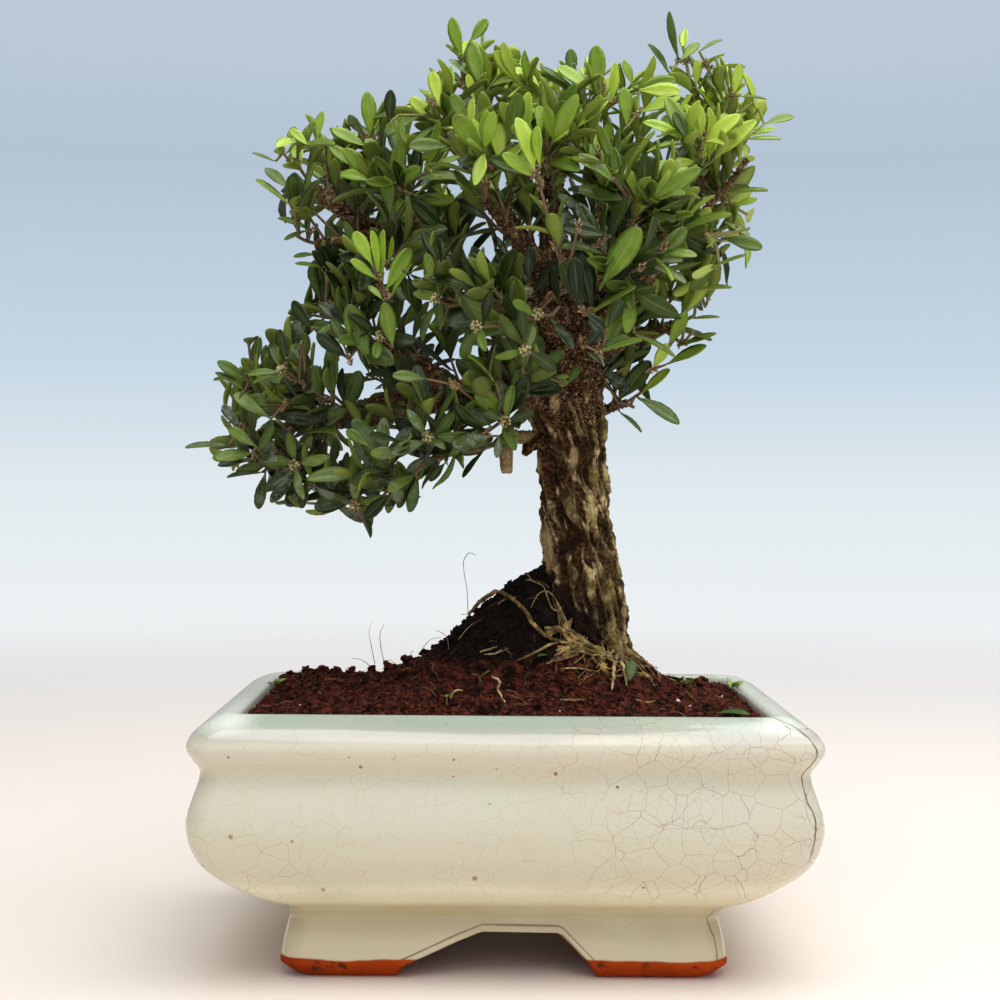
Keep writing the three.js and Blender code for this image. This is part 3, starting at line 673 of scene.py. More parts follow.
# %% The pot's mesh
DRAIN_X, DRAIN_RADIUS = 32, 6
levels, count = POT_LEVELS.shape[:2]
flat = POT_LEVELS.reshape(-1, 5)
pot = new_piece("pot_glazed", flat[:, :3], ring_faces(levels, count), glaze)
paint(pot, "over_edge", flat[:, 3])
paint(pot, "bare", flat[:, 4])
steps = np.linalg.norm(np.diff(POT_LEVELS[BELLY_LEVEL][:, :2], axis=0), axis=1)
seam_index = [i for i, entry in enumerate(PLAN) if entry[1] == (1, -1)][3]
round_mm = np.concatenate([[0], np.cumsum(steps)])
round_mm = round_mm - round_mm[seam_index]
wall_map = pot.data.uv_layers.new(name="wall")
corners = np.empty(len(pot.data.loops), int)
pot.data.loops.foreach_get("vertex_index", corners)
uv = np.stack([round_mm[corners % count], flat[corners][:, 2]], axis=1)
wall_map.data.foreach_set("uv", uv.astype(np.float32).ravel())
for side in (-1, 1):
    punch = new_piece("punch", *tube([(DRAIN_X * side, 0, z, DRAIN_RADIUS) for z in (10, 30)], 40))
    cut = pot.modifiers.new("drain", "BOOLEAN")
    cut.object, cut.solver = punch, "EXACT"
plain_mesh(pot)
for leftover in [thing for thing in bpy.data.objects if thing.name.startswith("punch")]:
    bpy.data.objects.remove(leftover)
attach(pot, "root")
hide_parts("pot", "pot_foot")
print("pot faces:", len(pot.data.polygons))

# %% Drain screens keep their solids and get a finish
screen, tree, shader, where = new_material("screen_plastic", Roughness=0.55)
dirt = mottle(tree, where, 300.0, 0.45, 0.6)
dirty = tinted(tree, dirt, colour(0.012, 0.014, 0.013), colour(0.04, 0.02, 0.012))
base_colour(tree, shader, dirty)
bumpy(tree, shader, crumb_height(tree, where, 700.0, 0.0002), 0.6)
for name in ("drain_screen_left", "drain_screen_right"):
    frame["nodes"][name].data.materials.clear()
    frame["nodes"][name].data.materials.append(screen)

# %% [markdown]
# ## The soil
# The tree was lifted in its pot: a steep mound of old root-ball stands against the
# trunk, and fresh red-brown soil fills the rest.  A sculpted or simulated heap would
# work, but a height rule, the same one the solid uses, is exact.  A slight hollow and
# two small heaps are added to it, and noise of several sizes makes clods.

# %% Shape of the soil
SOIL_EDGE, SOIL_GAP = 72.5, 0.3
SOIL_HALF = (HALF_WIDTH - WALL - SOIL_GAP, HALF_DEPTH - WALL - SOIL_GAP)
HILL = (12.0, 4.0)


def bell(distance, spread):
    return np.exp(-np.square(distance) / (2 * np.square(spread)))


def to_wall(x, y):
    return np.minimum(HALF_WIDTH - WALL - np.abs(x), HALF_DEPTH - WALL - np.abs(y))


def soil_height(x, y):
    x, y = np.asarray(x, float), np.asarray(y, float)
    share = np.clip(to_wall(x, y) / 16, 0, 1)
    inside = share * share * (3 - 2 * share)
    swell = 8.5 * bell(x, 48) * bell(y, 34)
    hill = 34 * bell(x - HILL[0], np.where(x < HILL[0], 20, 16))
    hill = hill * bell(y - HILL[1], np.where(y < HILL[1], 12, 17))
    lumps = 0.9 * np.sin(0.42 * x + 1.3) * np.sin(0.55 * y + 0.4)
    hollow = 2.5 * bell(x - 2, 7.5) * bell(y - 4, 12)
    heaped = 3.4 * bell(x + 60, 17) * bell(y - 44, 8) + 7 * bell(x - 10, 6.5) * bell(y + 9, 6)
    return SOIL_EDGE + inside * (swell + hill + lumps - hollow) + heaped


def clods(x, y, z):
    """Crumbs and clods on the soil, in millimetres outwards."""
    cell = noise.voronoi(Vector((x, y, z)) / 4.2)[0]
    big = 1.5 * (cell[1] - cell[0]) - 0.7
    cell = noise.voronoi(Vector((x + 40, y, z)) / 1.9)[0]
    small = 0.85 * (cell[1] - cell[0]) - 0.4
    return 0.8 * big + small + 0.9 * wave((x, y, z), 9, 3) + 0.35 * wave((x, y, z), 1.1, 8)


def on_soil(px, py, lift=0.0):
    """Where the camera's ray through a pixel meets the soil, or passes nearest to it."""
    start, way = np.array(CAMERA_PLACE), ray_through(px, py)
    far = np.linspace(470, 610, 700)
    path = start + far[:, None] * way
    inside = (np.abs(path[:, 0]) < 73.5) & (np.abs(path[:, 1]) < 51)
    over = np.where(inside, path[:, 2] - soil_height(path[:, 0], path[:, 1]), 1e3)
    under = np.flatnonzero(over <= 0)
    k = under[0] if len(under) else int(np.argmin(over))
    spot = path[k].copy()
    spot[2] = soil_height(spot[0], spot[1]) + lift
    return spot


print("a weed at pixel (480, 680) grows at", np.round(on_soil(480, 680), 1))

# %% The soil's mesh
def soil_plan(parts_x, parts_y):
    """A grid of x, y that fills the rounded rectangle inside the wall."""
    half_x, half_y = SOIL_HALF
    grid = []
    for y in np.linspace(-half_y, half_y, parts_y + 1):
        for x in np.linspace(-half_x, half_x, parts_x + 1):
            dx, dy = abs(x) - (half_x - CORNER), abs(y) - (half_y - CORNER)
            if dx > 0 and dy > 0:
                pull = max(dx, dy) / math.hypot(dx, dy)
                dx, dy = dx * pull, dy * pull
                grid.append((math.copysign(half_x - CORNER + dx, x),
                             math.copysign(half_y - CORNER + dy, y)))
            else:
                grid.append((x, y))
    return np.array(grid), parts_x + 1, parts_y + 1


def make_soil():
    plan, wide, deep = soil_plan(176, 122)
    z = soil_height(plan[:, 0], plan[:, 1])
    x, y, step = plan[:, 0], plan[:, 1], 0.4
    slope_x = (soil_height(x + step, y) - soil_height(x - step, y)) / (2 * step)
    slope_y = (soil_height(x, y + step) - soil_height(x, y - step)) / (2 * step)
    normals = np.stack([-slope_x, -slope_y, np.ones(len(z))], axis=1)
    normals /= np.linalg.norm(normals, axis=1, keepdims=True)
    top = np.column_stack([plan, z])
    away = to_wall(x, y)
    out = np.array([clods(*p) for p in top]) * np.clip(away / 1.5, 0.25, 1)
    normals[away < 3, :2] *= 0.2
    top = top + normals * out[:, None]
    faces = []
    for j in range(deep - 1):
        for i in range(wide - 1):
            a = j * wide + i
            faces.append((a, a + 1, a + 1 + wide, a + wide))
    border = [i for i in range(wide)]
    border += [j * wide + wide - 1 for j in range(1, deep)]
    border += [(deep - 1) * wide + i for i in range(wide - 2, -1, -1)]
    border += [j * wide for j in range(deep - 2, 0, -1)]
    points, previous = [top], border
    first = len(top)
    for z, inset in ((60, 0.2), (40, 0.3), (28, 4.1), (22.3, 11.9)):
        ring = plan[border].copy()
        ring *= (np.array(SOIL_HALF) - inset) / SOIL_HALF
        points.append(np.column_stack([ring, np.full(len(border), z)]))
        new = list(range(first, first + len(border)))
        for k in range(len(border)):
            n = (k + 1) % len(border)
            faces.append((previous[k], new[k], new[n], previous[n]))
        previous, first = new, first + len(border)
    faces.append(tuple(reversed(previous)))
    return np.vstack(points), faces, len(top)


# %% [markdown]
# ### The soil's finish
# Moist peat and coir drink the light: deep red-brown, almost black on the old root-ball,
# rough everywhere, with paler threads.  Colour follows noise at the size of the clods
# and a mask for the root-ball.

# %% Soil material
ROOT_BALL, ROOT_BALL_SQUEEZE = (2.5, -2, 100), (0.72, 1.0, 1.0)


def from_root_ball(tree, where):
    """Distance from the middle of the old root-ball, which is wider than deep."""
    middle = tuple(in_metres(ROOT_BALL) * np.array(ROOT_BALL_SQUEEZE))
    squeezed = vector_calc(tree, "MULTIPLY", where, ROOT_BALL_SQUEEZE)
    return vector_calc(tree, "DISTANCE", squeezed, middle)


soil_finish, tree, shader, where = new_material("moist_soil", Roughness=0.92,
                                                Specular_IOR_Level=0.08)
place = axes(tree, where)
tone = noise_mask(tree, where, 260, 5, 0.7)
red = tinted(tree, step_up(tree, tone, 0.40, 0.64), colour(0.008, 0.003, 0.002),
             colour(0.100, 0.024, 0.013))
bright = dots(tree, where, 620.0, 0.34, 0.12)
red = layer(tree, red, bright, 0.5, (0.16, 0.055, 0.025))
old = from_root_ball(tree, where)
rough_edge = times(tree, minus(tree, tone, 0.5), 0.02)
old = step_up(tree, plus(tree, old, rough_edge), 0.026, 0.017)
black = tinted(tree, step_up(tree, tone, 0.4, 0.7), colour(0.005, 0.0035, 0.003),
               colour(0.022, 0.013, 0.009))
base_colour(tree, shader, tinted(tree, old, red, black))
bumpy(tree, shader, crumb_height(tree, where, 1100.0, 0.0007), 0.9)

points, faces, top_count = make_soil()
soil = new_piece("soil_heap", points, faces, soil_finish)
paint(soil, "open", np.arange(len(points)) < top_count)
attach(soil, "root")
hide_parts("soil")
print("soil faces:", len(soil.data.polygons), "top points:", top_count)

# %% [markdown]
# ## Crumbs and fibres on the soil
# What makes soil read as soil is what lies loose on it: crumbs, and threads of coir.
# Thousands of them are too many to place by hand, and a particle system doesn't survive
# an export.  A geometry tree scatters points on the open skin with a fixed seed, puts a
# small shape on each, turns and scales it at random, and makes it all real mesh.

# %% A tree that scatters shapes over a surface
SCATTER, source, result = new_group(
    "Scatter",
    [("Surface", "NodeSocketGeometry", None), ("Shapes", "NodeSocketCollection", None),
     ("Per Square Metre", "NodeSocketFloat", 1000.0), ("Smallest", "NodeSocketFloat", 0.5),
     ("Largest", "NodeSocketFloat", 1.0), ("Seed", "NodeSocketInt", 0),
     ("Finish", "NodeSocketMaterial", None)],
    [("Scattered", "NodeSocketGeometry")],
    "GeometryNodeTree",
)
is_open = node(SCATTER, "GeometryNodeInputNamedAttribute", {"Name": "open"}, data_type="FLOAT")
spread = node(SCATTER, "GeometryNodeDistributePointsOnFaces", {
    "Mesh": source["Surface"], "Density": source["Per Square Metre"], "Seed": source["Seed"],
    "Selection": calc(SCATTER, "GREATER_THAN", is_open.outputs["Attribute"], 0.99)})
picks = node(SCATTER, "GeometryNodeCollectionInfo", {
    "Collection": source["Shapes"], "Separate Children": True, "Reset Children": True})
size = node(SCATTER, "FunctionNodeRandomValue", {
    2: 0.0, 3: 1.0, "Seed": source["Seed"]}, data_type="FLOAT").outputs[1]
size = calc(SCATTER, "POWER", size, 2.2)
span = minus(SCATTER, source["Largest"], source["Smallest"])
size = plus(SCATTER, source["Smallest"], times(SCATTER, size, span))
spin = node(SCATTER, "FunctionNodeRandomValue", {
    "Min": (0.0, 0.0, 0.0), "Max": (0.7, 0.7, 6.283), "Seed": 5},
            data_type="FLOAT_VECTOR").outputs[0]
turned = node(SCATTER, "FunctionNodeRotateRotation", {
    "Rotation": spread.outputs["Rotation"],
    "Rotate By": node(SCATTER, "FunctionNodeEulerToRotation", {"Euler": spin}).outputs[0]})
turned.rotation_space = "LOCAL"
placed = node(SCATTER, "GeometryNodeInstanceOnPoints", {
    "Points": spread.outputs["Points"], "Instance": picks.outputs[0], "Pick Instance": True,
    "Rotation": turned.outputs[0], "Scale": size})
real = node(SCATTER, "GeometryNodeRealizeInstances", {"Geometry": placed.outputs[0]})
done = node(SCATTER, "GeometryNodeSetMaterial", {
    "Geometry": real.outputs[0], "Material": source["Finish"]})
SCATTER.links.new(done.outputs[0], result["Scattered"])


def grow(piece, tree, **values):
    """Runs a geometry tree on a piece with the given inputs and keeps the plain mesh."""
    sockets = {item.name: item.identifier for item in tree.interface.items_tree
               if item.item_type == "SOCKET" and item.in_out == "INPUT"}
    modifier = piece.modifiers.new(tree.name, "NODES")
    modifier.node_group = tree
    for key, value in values.items():
        modifier[sockets[key.replace("_", " ")]] = value
    plain_mesh(piece)


def shape_set(name, shapes):
    """A collection of small shapes, in metres round the origin, for a tree to pick from."""
    shelf = bpy.data.collections.new(name)
    bpy.context.scene.collection.children.link(shelf)
    for k, (points, faces, maps) in enumerate(shapes):
        mesh = bpy.data.meshes.new(f"{name}_{k}")
        mesh.from_pydata((np.asarray(points) / 1000).tolist(), [], faces)
        mesh.update()
        mesh.shade_smooth()
        if maps is not None:
            layer = mesh.uv_layers.new(name="leaf_map")
            layer.data.foreach_set("uv", np.asarray(maps, np.float32).ravel())
        shelf.objects.link(bpy.data.objects.new(f"{name}_{k}", mesh))
    return shelf


def put_away(shelf):
    for thing in list(shelf.objects):
        bpy.data.objects.remove(thing)
    bpy.data.collections.remove(shelf)


# %% Crumbs and threads
def ball(rows=3, parts=6):
    """A closed ball of a few dozen faces."""
    points = [(0, 0, 1)]
    for i in range(1, rows + 1):
        tilt = math.pi * i / (rows + 1)
        for j in range(parts):
            turn = 2 * math.pi * (j + 0.5 * (i % 2)) / parts
            points.append((math.sin(tilt) * math.cos(turn), math.sin(tilt) * math.sin(turn),
                           math.cos(tilt)))
    points.append((0, 0, -1))
    faces = [(0, 1 + j, 1 + (j + 1) % parts) for j in range(parts)]
    for i in range(rows - 1):
        for j in range(parts):
            a, b = 1 + i * parts + j, 1 + i * parts + (j + 1) % parts
            faces.append((a, a + parts, b + parts, b))
    last = 1 + (rows - 1) * parts
    faces += [(last + j, len(points) - 1, last + (j + 1) % parts) for j in range(parts)]
    return np.array(points), faces


def crumb(seed):
    points, faces = ball(2, 5)
    points = points * (1 + waves(points, (0.75, 0.9, seed)))[:, None]
    return points * (1.0, 0.8, 0.62), faces, None


def thread(seed, length, radius):
    random = np.random.default_rng(seed)
    turn, place, line = random.uniform(0, 6.28), np.zeros(3), []
    for k in range(8):
        line.append((*place, radius * (1 - 0.06 * k)))
        turn += random.normal(0, 0.45)
        place = place + length / 7 * np.array([math.cos(turn), math.sin(turn),
                                               random.normal(0.1, 0.22)])
    points, faces = tube(line, 3)
    return points - points.mean(axis=0) * (1, 1, 0) + (0, 0, 0.15), faces, None


crumb_finish, tree, shader, where = new_material("soil_crumb", Roughness=0.92,
                                                 Specular_IOR_Level=0.08)
tone = noise_mask(tree, where, 420, 2)
tone = tinted(tree, step_up(tree, tone, 0.36, 0.66), colour(0.009, 0.004, 0.003),
              colour(0.13, 0.032, 0.017))
old = from_root_ball(tree, where)
old = step_up(tree, old, 0.027, 0.018)
base_colour(tree, shader, tinted(tree, old, tone, colour(0.012, 0.008, 0.006)))
bumpy(tree, shader, crumb_height(tree, where, 1800.0, 0.0003), 0.8)

thread_finish, tree, shader, where = new_material("coir_thread", Roughness=0.75)
tone = noise_mask(tree, where, 160, 1)
base_colour(tree, shader, tinted(tree, step_up(tree, tone, 0.42, 0.6), colour(0.10, 0.038, 0.018),
                                 colour(0.42, 0.24, 0.11)))

crumbs = copy_of(soil, "soil_crumbs")
crumb_shapes = shape_set("crumb", [crumb(seed) for seed in (1, 2, 3, 4)])
grow(crumbs, SCATTER, Shapes=crumb_shapes, Per_Square_Metre=4.3e5, Smallest=0.36, Largest=1.36,
     Seed=4, Finish=crumb_finish)
spill = new_piece("soil_spilt", [(17, -53.6, 74.2), (43, -53.6, 74.2), (43, -50, 74.4),
                                 (17, -50, 74.4)],
                  [(0, 1, 2, 3)])
paint(spill, "open", np.ones(4))
grow(spill, SCATTER, Shapes=crumb_shapes, Per_Square_Metre=1.6e6, Smallest=0.3, Largest=0.95,
     Seed=9, Finish=crumb_finish)
threads = copy_of(soil, "soil_threads")
thread_shapes = shape_set("thread", [thread(seed, 9 + seed, 0.1) for seed in range(5)])
grow(threads, SCATTER, Shapes=thread_shapes, Per_Square_Metre=1.5e4, Smallest=0.4, Largest=1.1,
     Seed=12, Finish=thread_finish)
put_away(crumb_shapes)
put_away(thread_shapes)
for piece in (crumbs, spill, threads):
    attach(piece, "root")
    print(piece.name, "faces:", len(piece.data.polygons))

# %% [markdown]
# ## Bark
# Harland boxwood is grown for its bark: cork that splits into thin pale ridges with dark
# furrows between them, green with moss on the weather side and rusty where it flakes
# near the crown, where it is also painted darker as the shade of the crown.  The ridges
# are real relief, because they show on the outline, and the same ridge value is stored
# on the mesh to colour them.

# %% Bark material
bark, tree, shader, where = new_material("corky_bark", Roughness=0.9, Specular_IOR_Level=0.1)
place = axes(tree, where)
ridge = attribute(tree, "ridge")
fine = noise_mask(tree, where, 900, 5, 0.7)
rough_ridge = plus(tree, ridge, times(tree, minus(tree, fine, 0.5), 0.55))
worn = mottle(tree, where, 210.0, 0.34, 0.6)
crest = step_up(tree, rough_ridge, 0.30, 0.80)
crest = times(tree, crest, step_up(tree, worn, 0, 1, 1.0, 0.4))
broad = noise_mask(tree, where, 170, 3, 0.6)
crumbling = times(tree, step_up(tree, fine, 0.36, 0.64), step_up(tree, broad, 0.38, 0.6, 1.0, 0.2))
furrow = tinted(tree, crumbling, colour(0.009, 0.005, 0.0035), colour(0.20, 0.098, 0.04))
cork = tinted(tree, step_up(tree, broad, 0.36, 0.66), colour(0.15, 0.085, 0.036),
              colour(0.95, 0.72, 0.38))
stretched = vector_calc(tree, "MULTIPLY", where, (1.0, 1.0, 0.3))
plates = node(tree, "ShaderNodeTexVoronoi", {"Vector": stretched, "Scale": 520.0},
              feature="DISTANCE_TO_EDGE")
split = step_up(tree, plus(tree, plates.outputs["Distance"], times(tree, fine, 0.12)), 0.14, 0.07)
cork = layer(tree, cork, split, 0.6, (0.030, 0.018, 0.010))
stain = mottle(tree, where, 190.0, 0.5, 0.66)
cork = layer(tree, cork, stain, 0.75, (0.050, 0.026, 0.013))
base = tinted(tree, crest, furrow, cork)
damp = times(tree, attribute(tree, "moss"),
             mottle(tree, where, 260.0, 0.38, 0.66))
mossy = tinted(tree, crest, colour(0.028, 0.028, 0.007), colour(0.40, 0.355, 0.10))
base = tinted(tree, times(tree, damp, 0.7), base, mossy)
# Flaking red-brown bark near the crown, partly its own colour and partly painted shade: its dark
# end stands for the shade inside the crown.
rust_and_shade_tone = tinted(tree, step_up(tree, fine, 0.42, 0.68), colour(0.012, 0.007, 0.003),
                   colour(0.18, 0.088, 0.03))
flake = dots(tree, where, 520.0, 0.4, 0.28)
rust_and_shade_tone = layer(tree, rust_and_shade_tone, flake, 0.6, (0.36, 0.235, 0.135))
rust = times(tree, attribute(tree, "rust"),
             mottle(tree, where, 120.0, 0.3, 0.5))
base = tinted(tree, rust, base, rust_and_shade_tone)
healed = tinted(tree, fine, colour(0.21, 0.13, 0.055), colour(0.74, 0.54, 0.28))
base = tinted(tree, attribute(tree, "scar"), base, healed)
peat = tinted(tree, fine, colour(0.005, 0.0035, 0.003), colour(0.032, 0.017, 0.010))
base = tinted(tree, attribute(tree, "soiled"), base, peat)
base_colour(tree, shader, base)
crumbly = crumb_height(tree, where, 1000.0, 0.0009)
crumbly = minus(tree, crumbly, times(tree, split, 0.0003))
bumpy(tree, shader, crumbly, 1.0)

# %% Trunk
TRUNK = [
    (24, 2, 66, 14), (24, 2, 84, 14), (24.2, 2, 92, 13.4), (24.4, 1, 103, 12.3),
    (23.0, 1, 116, 11.0), (21.4, 0, 128, 10.3), (20.2, 0, 140, 10.0), (19.3, 0, 152, 10.0),
    (17, -1, 165, 11.6), (16, -2, 180, 10.6), (15, -4, 195, 7.4), (14, -6, 210, 4.6),
    (11, -9, 226, 2),
]
SCARS = [(20.3, 147.3, 1.6, 3.4), (14.2, 162.8, 1.8, 3.2), (12.6, 119, 1.9, 9)]  # x, z, half sizes


def cork_ridge(angles, z):
    """0 in a furrow to 1 on a strand of cork, round the trunk at one height.  The strands
    drift sideways, swell and fade, so they part and join again as they climb."""
    angles = np.asarray(angles, float)
    ridge = np.zeros(len(angles))
    for count, width, drift, height in ((14, 0.155, 0.4, 1.0), (27, 0.07, 0.42, 0.7)):
        for k in range(count):
            own = 5.37 * k + count
            middle = 2 * math.pi * k / count - 0.02 * z
            middle += drift * wave((own, 0, z), 24, 2.3) + 0.4 * drift * wave((own, 9, z), 7, 4.1)
            half = width * max(0.35, 1.0 + 1.3 * wave((own, 17, z), 8,
                                                      6.7) + 0.6 * wave((own, 3, z), 2.6, 1.9))
            strength = min(1, max(0, 0.75 + 2.3 * wave((own, 29, z), 8, 8.9)))
            gap = np.abs((angles - middle + math.pi) % (2 * math.pi) - math.pi)
            ridge = np.maximum(ridge, height * strength * np.clip(1.7 * (1 - gap / half), 0, 1))
    return ridge


def trunk_relief(angles, centre):
    z = centre[2]
    spots = np.stack([11 * np.cos(angles), 11 * np.sin(angles), np.full(len(angles), z)], axis=1)
    crown = np.clip((z - 158) / 12, 0, 1)
    cork = 2.1 * cork_ridge(angles, z) - 1.15 + waves(spots, (0.55, 2.6, 6), (0.35, 0.9, 3))
    flaky = waves(spots, (1.6, 4.5, 11), (0.7, 1.8, 2))
    lobes = 0.7 * np.cos(7 * (angles + 0.18 * math.sin(z / 11) + 0.004 * z))
    fade = np.clip((226 - z) / 40, 0.15, 1)
    return fade * (lobes + (1 - crown) * cork + crown * flaky + waves(spots, (0.3, 1.1, 4)))


trunk_line = smooth_line(TRUNK, 300)
TRUNK_SIDES = 168
trunk = new_piece("trunk_bark", *tube(trunk_line, TRUNK_SIDES, trunk_relief), bark)
angles = np.tile(np.linspace(0, 2 * math.pi, TRUNK_SIDES, endpoint=False), len(trunk_line))
heights = np.repeat(trunk_line[:, 2], TRUNK_SIDES)
spots = in_millimetres([v.co for v in trunk.data.vertices])
paint(trunk, "ridge", np.concatenate([cork_ridge(angles[:TRUNK_SIDES], z)
                                      for z in trunk_line[:, 2]]))
right = spots[:, 0] - np.repeat(trunk_line[:, 0], TRUNK_SIDES)
paint(trunk, "moss", np.clip(0.5 + 0.09 * right, 0.12, 1) * np.clip((176 - heights) / 20, 0, 1))
# Rust and painted shade rise with height towards the crown.
paint(trunk, "rust", np.clip((heights - 152) / 16, 0, 1))
scar = np.zeros(len(spots))
for x, z, half_x, half_z in SCARS:
    away = np.hypot((spots[:, 0] - x) / half_x, (spots[:, 2] - z) / half_z)
    scar = np.maximum(scar, np.clip((1 - away) * 3, 0, 1) * (spots[:, 1] < 2))
paint(trunk, "scar", scar)
slope = 115 - 1.05 * np.clip(spots[:, 0] - 11, 0, 99) + waves(spots, (3, 4, 5), (2, 1.3, 2))
paint(trunk, "soiled", np.clip((slope - spots[:, 2]) / 2, 0,
                               1) * (spots[:, 0] < 29) * (spots[:, 1] < 5))
print("trunk faces:", len(trunk.data.polygons))

# %% [markdown]
# ### Branches and roots
# A branch is a limb that thins along a smooth line, with knots and flakes.  The lines
# are the ones of the solid.  The roots creep over the mound, so only their x and y are
# listed, and the soil gives their height.

# %% Branch lines and the sprays they carry
BRANCHES = {  # line of x, y, z, radius; sprays as share along the line and tip x, y, z
    "low_left": (
        [(12, -2, 166, 5.6), (-2, -6, 167, 4.8), (-16, -10, 165, 4.2), (-29, -12, 162, 3.4),
         (-44, -12, 158, 2.5), (-62, -8, 156, 1.7), (-75, -4, 154, 1.1)],
        [(1, -80, -1, 152), (0.85, -72, -17, 142), (0.75, -62, -3, 134), (0.8, -79, -9, 171),
         (0.64, -64, -27, 171)]),
    "low_left_up": (
        [(-14, -10, 166, 3.6), (-23, -16, 172, 2.9), (-36, -18, 178, 2.1), (-47, -13, 183, 1.3)],
        [(1, -57, -6, 194), (0.75, -47, -31, 186)]),
    "low_left_front": (
        [(-9, -8, 166, 3), (-20, -26, 154, 2.2), (-31, -30, 148, 1.6), (-41, -25, 141, 1.1)],
        [(1, -49, -20, 131), (0.75, -30, -38, 136), (0.45, -17, -45, 146)]),
    "low_left_back": (
        [(-22, -11, 164, 2.8), (-36, 12, 165, 2.1), (-50, 24, 163, 1.2)],
        [(1, -68, 32, 160), (0.6, -37, 40, 172)]),
    "upper_left": (
        [(13, 0, 184, 5), (-5, 8, 199, 4), (-24, 10, 208, 3.3), (-38, 8, 214, 2.9),
         (-50, 5, 222, 2.7), (-60, 2, 229, 2.5)],
        [(0.95, -65, -5, 237), (0.88, -58, 13, 244), (0.7, -51, 36, 230), (0.5, -35, -42, 201)]),
    "upper_left_top": (
        [(-24, 10, 208, 2.8), (-32, 10, 223, 2.1), (-39, 6, 235, 1.3)],
        [(1, -42, 2, 249), (0.6, -33, -28, 226)]),
    "upper_left_side": (
        [(-40, 7, 216, 2.4), (-50, -3, 212, 1.8), (-58, -7, 211, 1.2)],
        [(1, -64, -12, 213), (0.55, -54, -4, 198)]),
    "top_left": (
        [(14, -3, 196, 3.8), (4, -5, 213, 3), (-6, -5, 228, 2.3), (-11, -3, 243, 1.6),
         (-13, -1, 256, 1.1)],
        [(1, -15, 0, 269), (0.84, -2, 14, 266), (0.7, -25, -21, 249)]),
    "front_upper": ([(13, -6, 203, 2.8), (1, -28, 212, 2), (-7, -40, 219, 1.2)],
                    [(1, -6, -54, 229)]),
    "top_centre": (
        [(13, -7, 216, 2.9), (16, 4, 237, 2.1), (21, 8, 251, 1.2)],
        [(1, 24, 10, 264), (0.85, 35, -7, 258), (0.6, 9, -20, 257)]),
    "leader": ([(12, -8, 221, 2.4), (11, -24, 224, 1.6), (11, -34, 227, 1.1)], [(1, 10, -47, 234)]),
    "right_long": (
        [(22, -4, 182, 4), (35, -12, 194, 3.2), (47, -15, 207, 2.5), (59, -12, 221, 1.9),
         (72, -8, 237, 1.6)],
        [(0.86, 67, 5, 226), (0.7, 63, -13, 209), (0.5, 44, -35, 213)]),
    "right_up": (
        [(20, 4, 191, 3.7), (38, 10, 208, 2.9), (52, 8, 221, 2.3), (59, 5, 232, 1.9),
         (61, 3, 243, 1.3)],
        [(1, 53, 0, 273), (0.95, 67, -9, 259), (0.8, 73, 7, 250), (0.6, 56, -27, 240)]),
    "right_thin": (
        [(23, -2, 178, 2.8), (40, -6, 184, 1.9), (54, -5, 189, 1.1)],
        [(1, 66, 5, 199), (0.75, 54, -10, 181)]),
    "right_low": ([(26, 4, 160, 1.9), (33, 6, 163, 1.4), (37, 6, 164, 1.1)], [(1, 47, 3, 161)]),
    "front_right": (
        [(17, -6, 193, 3), (27, -28, 201, 2.1), (33, -42, 208, 1.2)],
        [(1, 35, -55, 218), (0.8, 30, -60, 197), (0.5, 25, -46, 232)]),
    "front_centre": (
        [(15, -7, 183, 3.2), (11, -28, 187, 2.3), (6, -43, 190, 1.3)],
        [(1, 2, -60, 183), (0.6, -17, -55, 190), (0.8, 16, -64, 197)]),
    "front_low": ([(11, -7, 164, 2.6), (3, -24, 163, 1.8), (0, -33, 160, 1.2)],
                  [(1, -1, -47, 157)]),
    "back_left": (
        [(13, 5, 185, 3.2), (-1, 30, 201, 2.3), (-18, 47, 214, 1.3)],
        [(1, -25, 62, 224), (0.65, -3, 62, 195)]),
    "back_right": (
        [(19, 5, 188, 3.2), (35, 30, 203, 2.3), (47, 46, 214, 1.3)],
        [(1, 54, 58, 228), (0.65, 37, 64, 207)]),
    "back_top": ([(15, 1, 203, 2.8), (14, 24, 225, 2.1), (12, 38, 241, 1.3)], [(1, 11, 50, 260)]),
    "back_low": ([(17, 7, 170, 2.8), (12, 34, 177, 2), (7, 47, 182, 1.2)], [(1, 6, 64, 187)]),
}
STUB = [(9, -4, 153, 2.2), (1, -8, 152.5, 1.9), (0, -9, 151, 2), (0, -10, 143, 1.8),
        (0, -10, 142, 1.3)]
KNOB = [(13, -4, 152, 3.8), (8.4, -5.5, 151, 2.3), (6.4, -6.5, 148.8, 1.7), (5.8, -6.8, 147.4, 0.7)]

# %% Branches
def limb_relief(thickness):
    """Knots and flakes in proportion to a limb."""
    def relief(angles, centre):
        around = np.stack([np.cos(angles), np.sin(angles), np.sin(angles)], axis=1)
        spots = centre + thickness * around
        return waves(spots, (0.16 * thickness, 6, 1), (0.12 * thickness, 1.8, 3))
    return relief


def limb_line(name, line):
    """The drawn line; the long right limb is thinner towards its end than its solid."""
    drawn = smooth_line(line, 1 + 11 * (len(line) - 1))
    drawn[:, 3] *= np.linspace(1, 0.5 if name == "right_long" else 1, len(drawn))
    return drawn


limbs = [tube(limb_line(name, line), 14, limb_relief(line[1][3]))
         for name, (line, _) in BRANCHES.items()]
limbs += [tube(smooth_line(line, 24), 14, limb_relief(knots))
          for line, knots in ((KNOB, 4.5), (STUB, 2.0))]
branches = new_piece("branches", *gathered(limbs), bark)
spots = in_millimetres([v.co for v in branches.data.vertices])
paint(branches, "ridge", 0.62 + waves(spots, (0.9, 1.6, 6)))
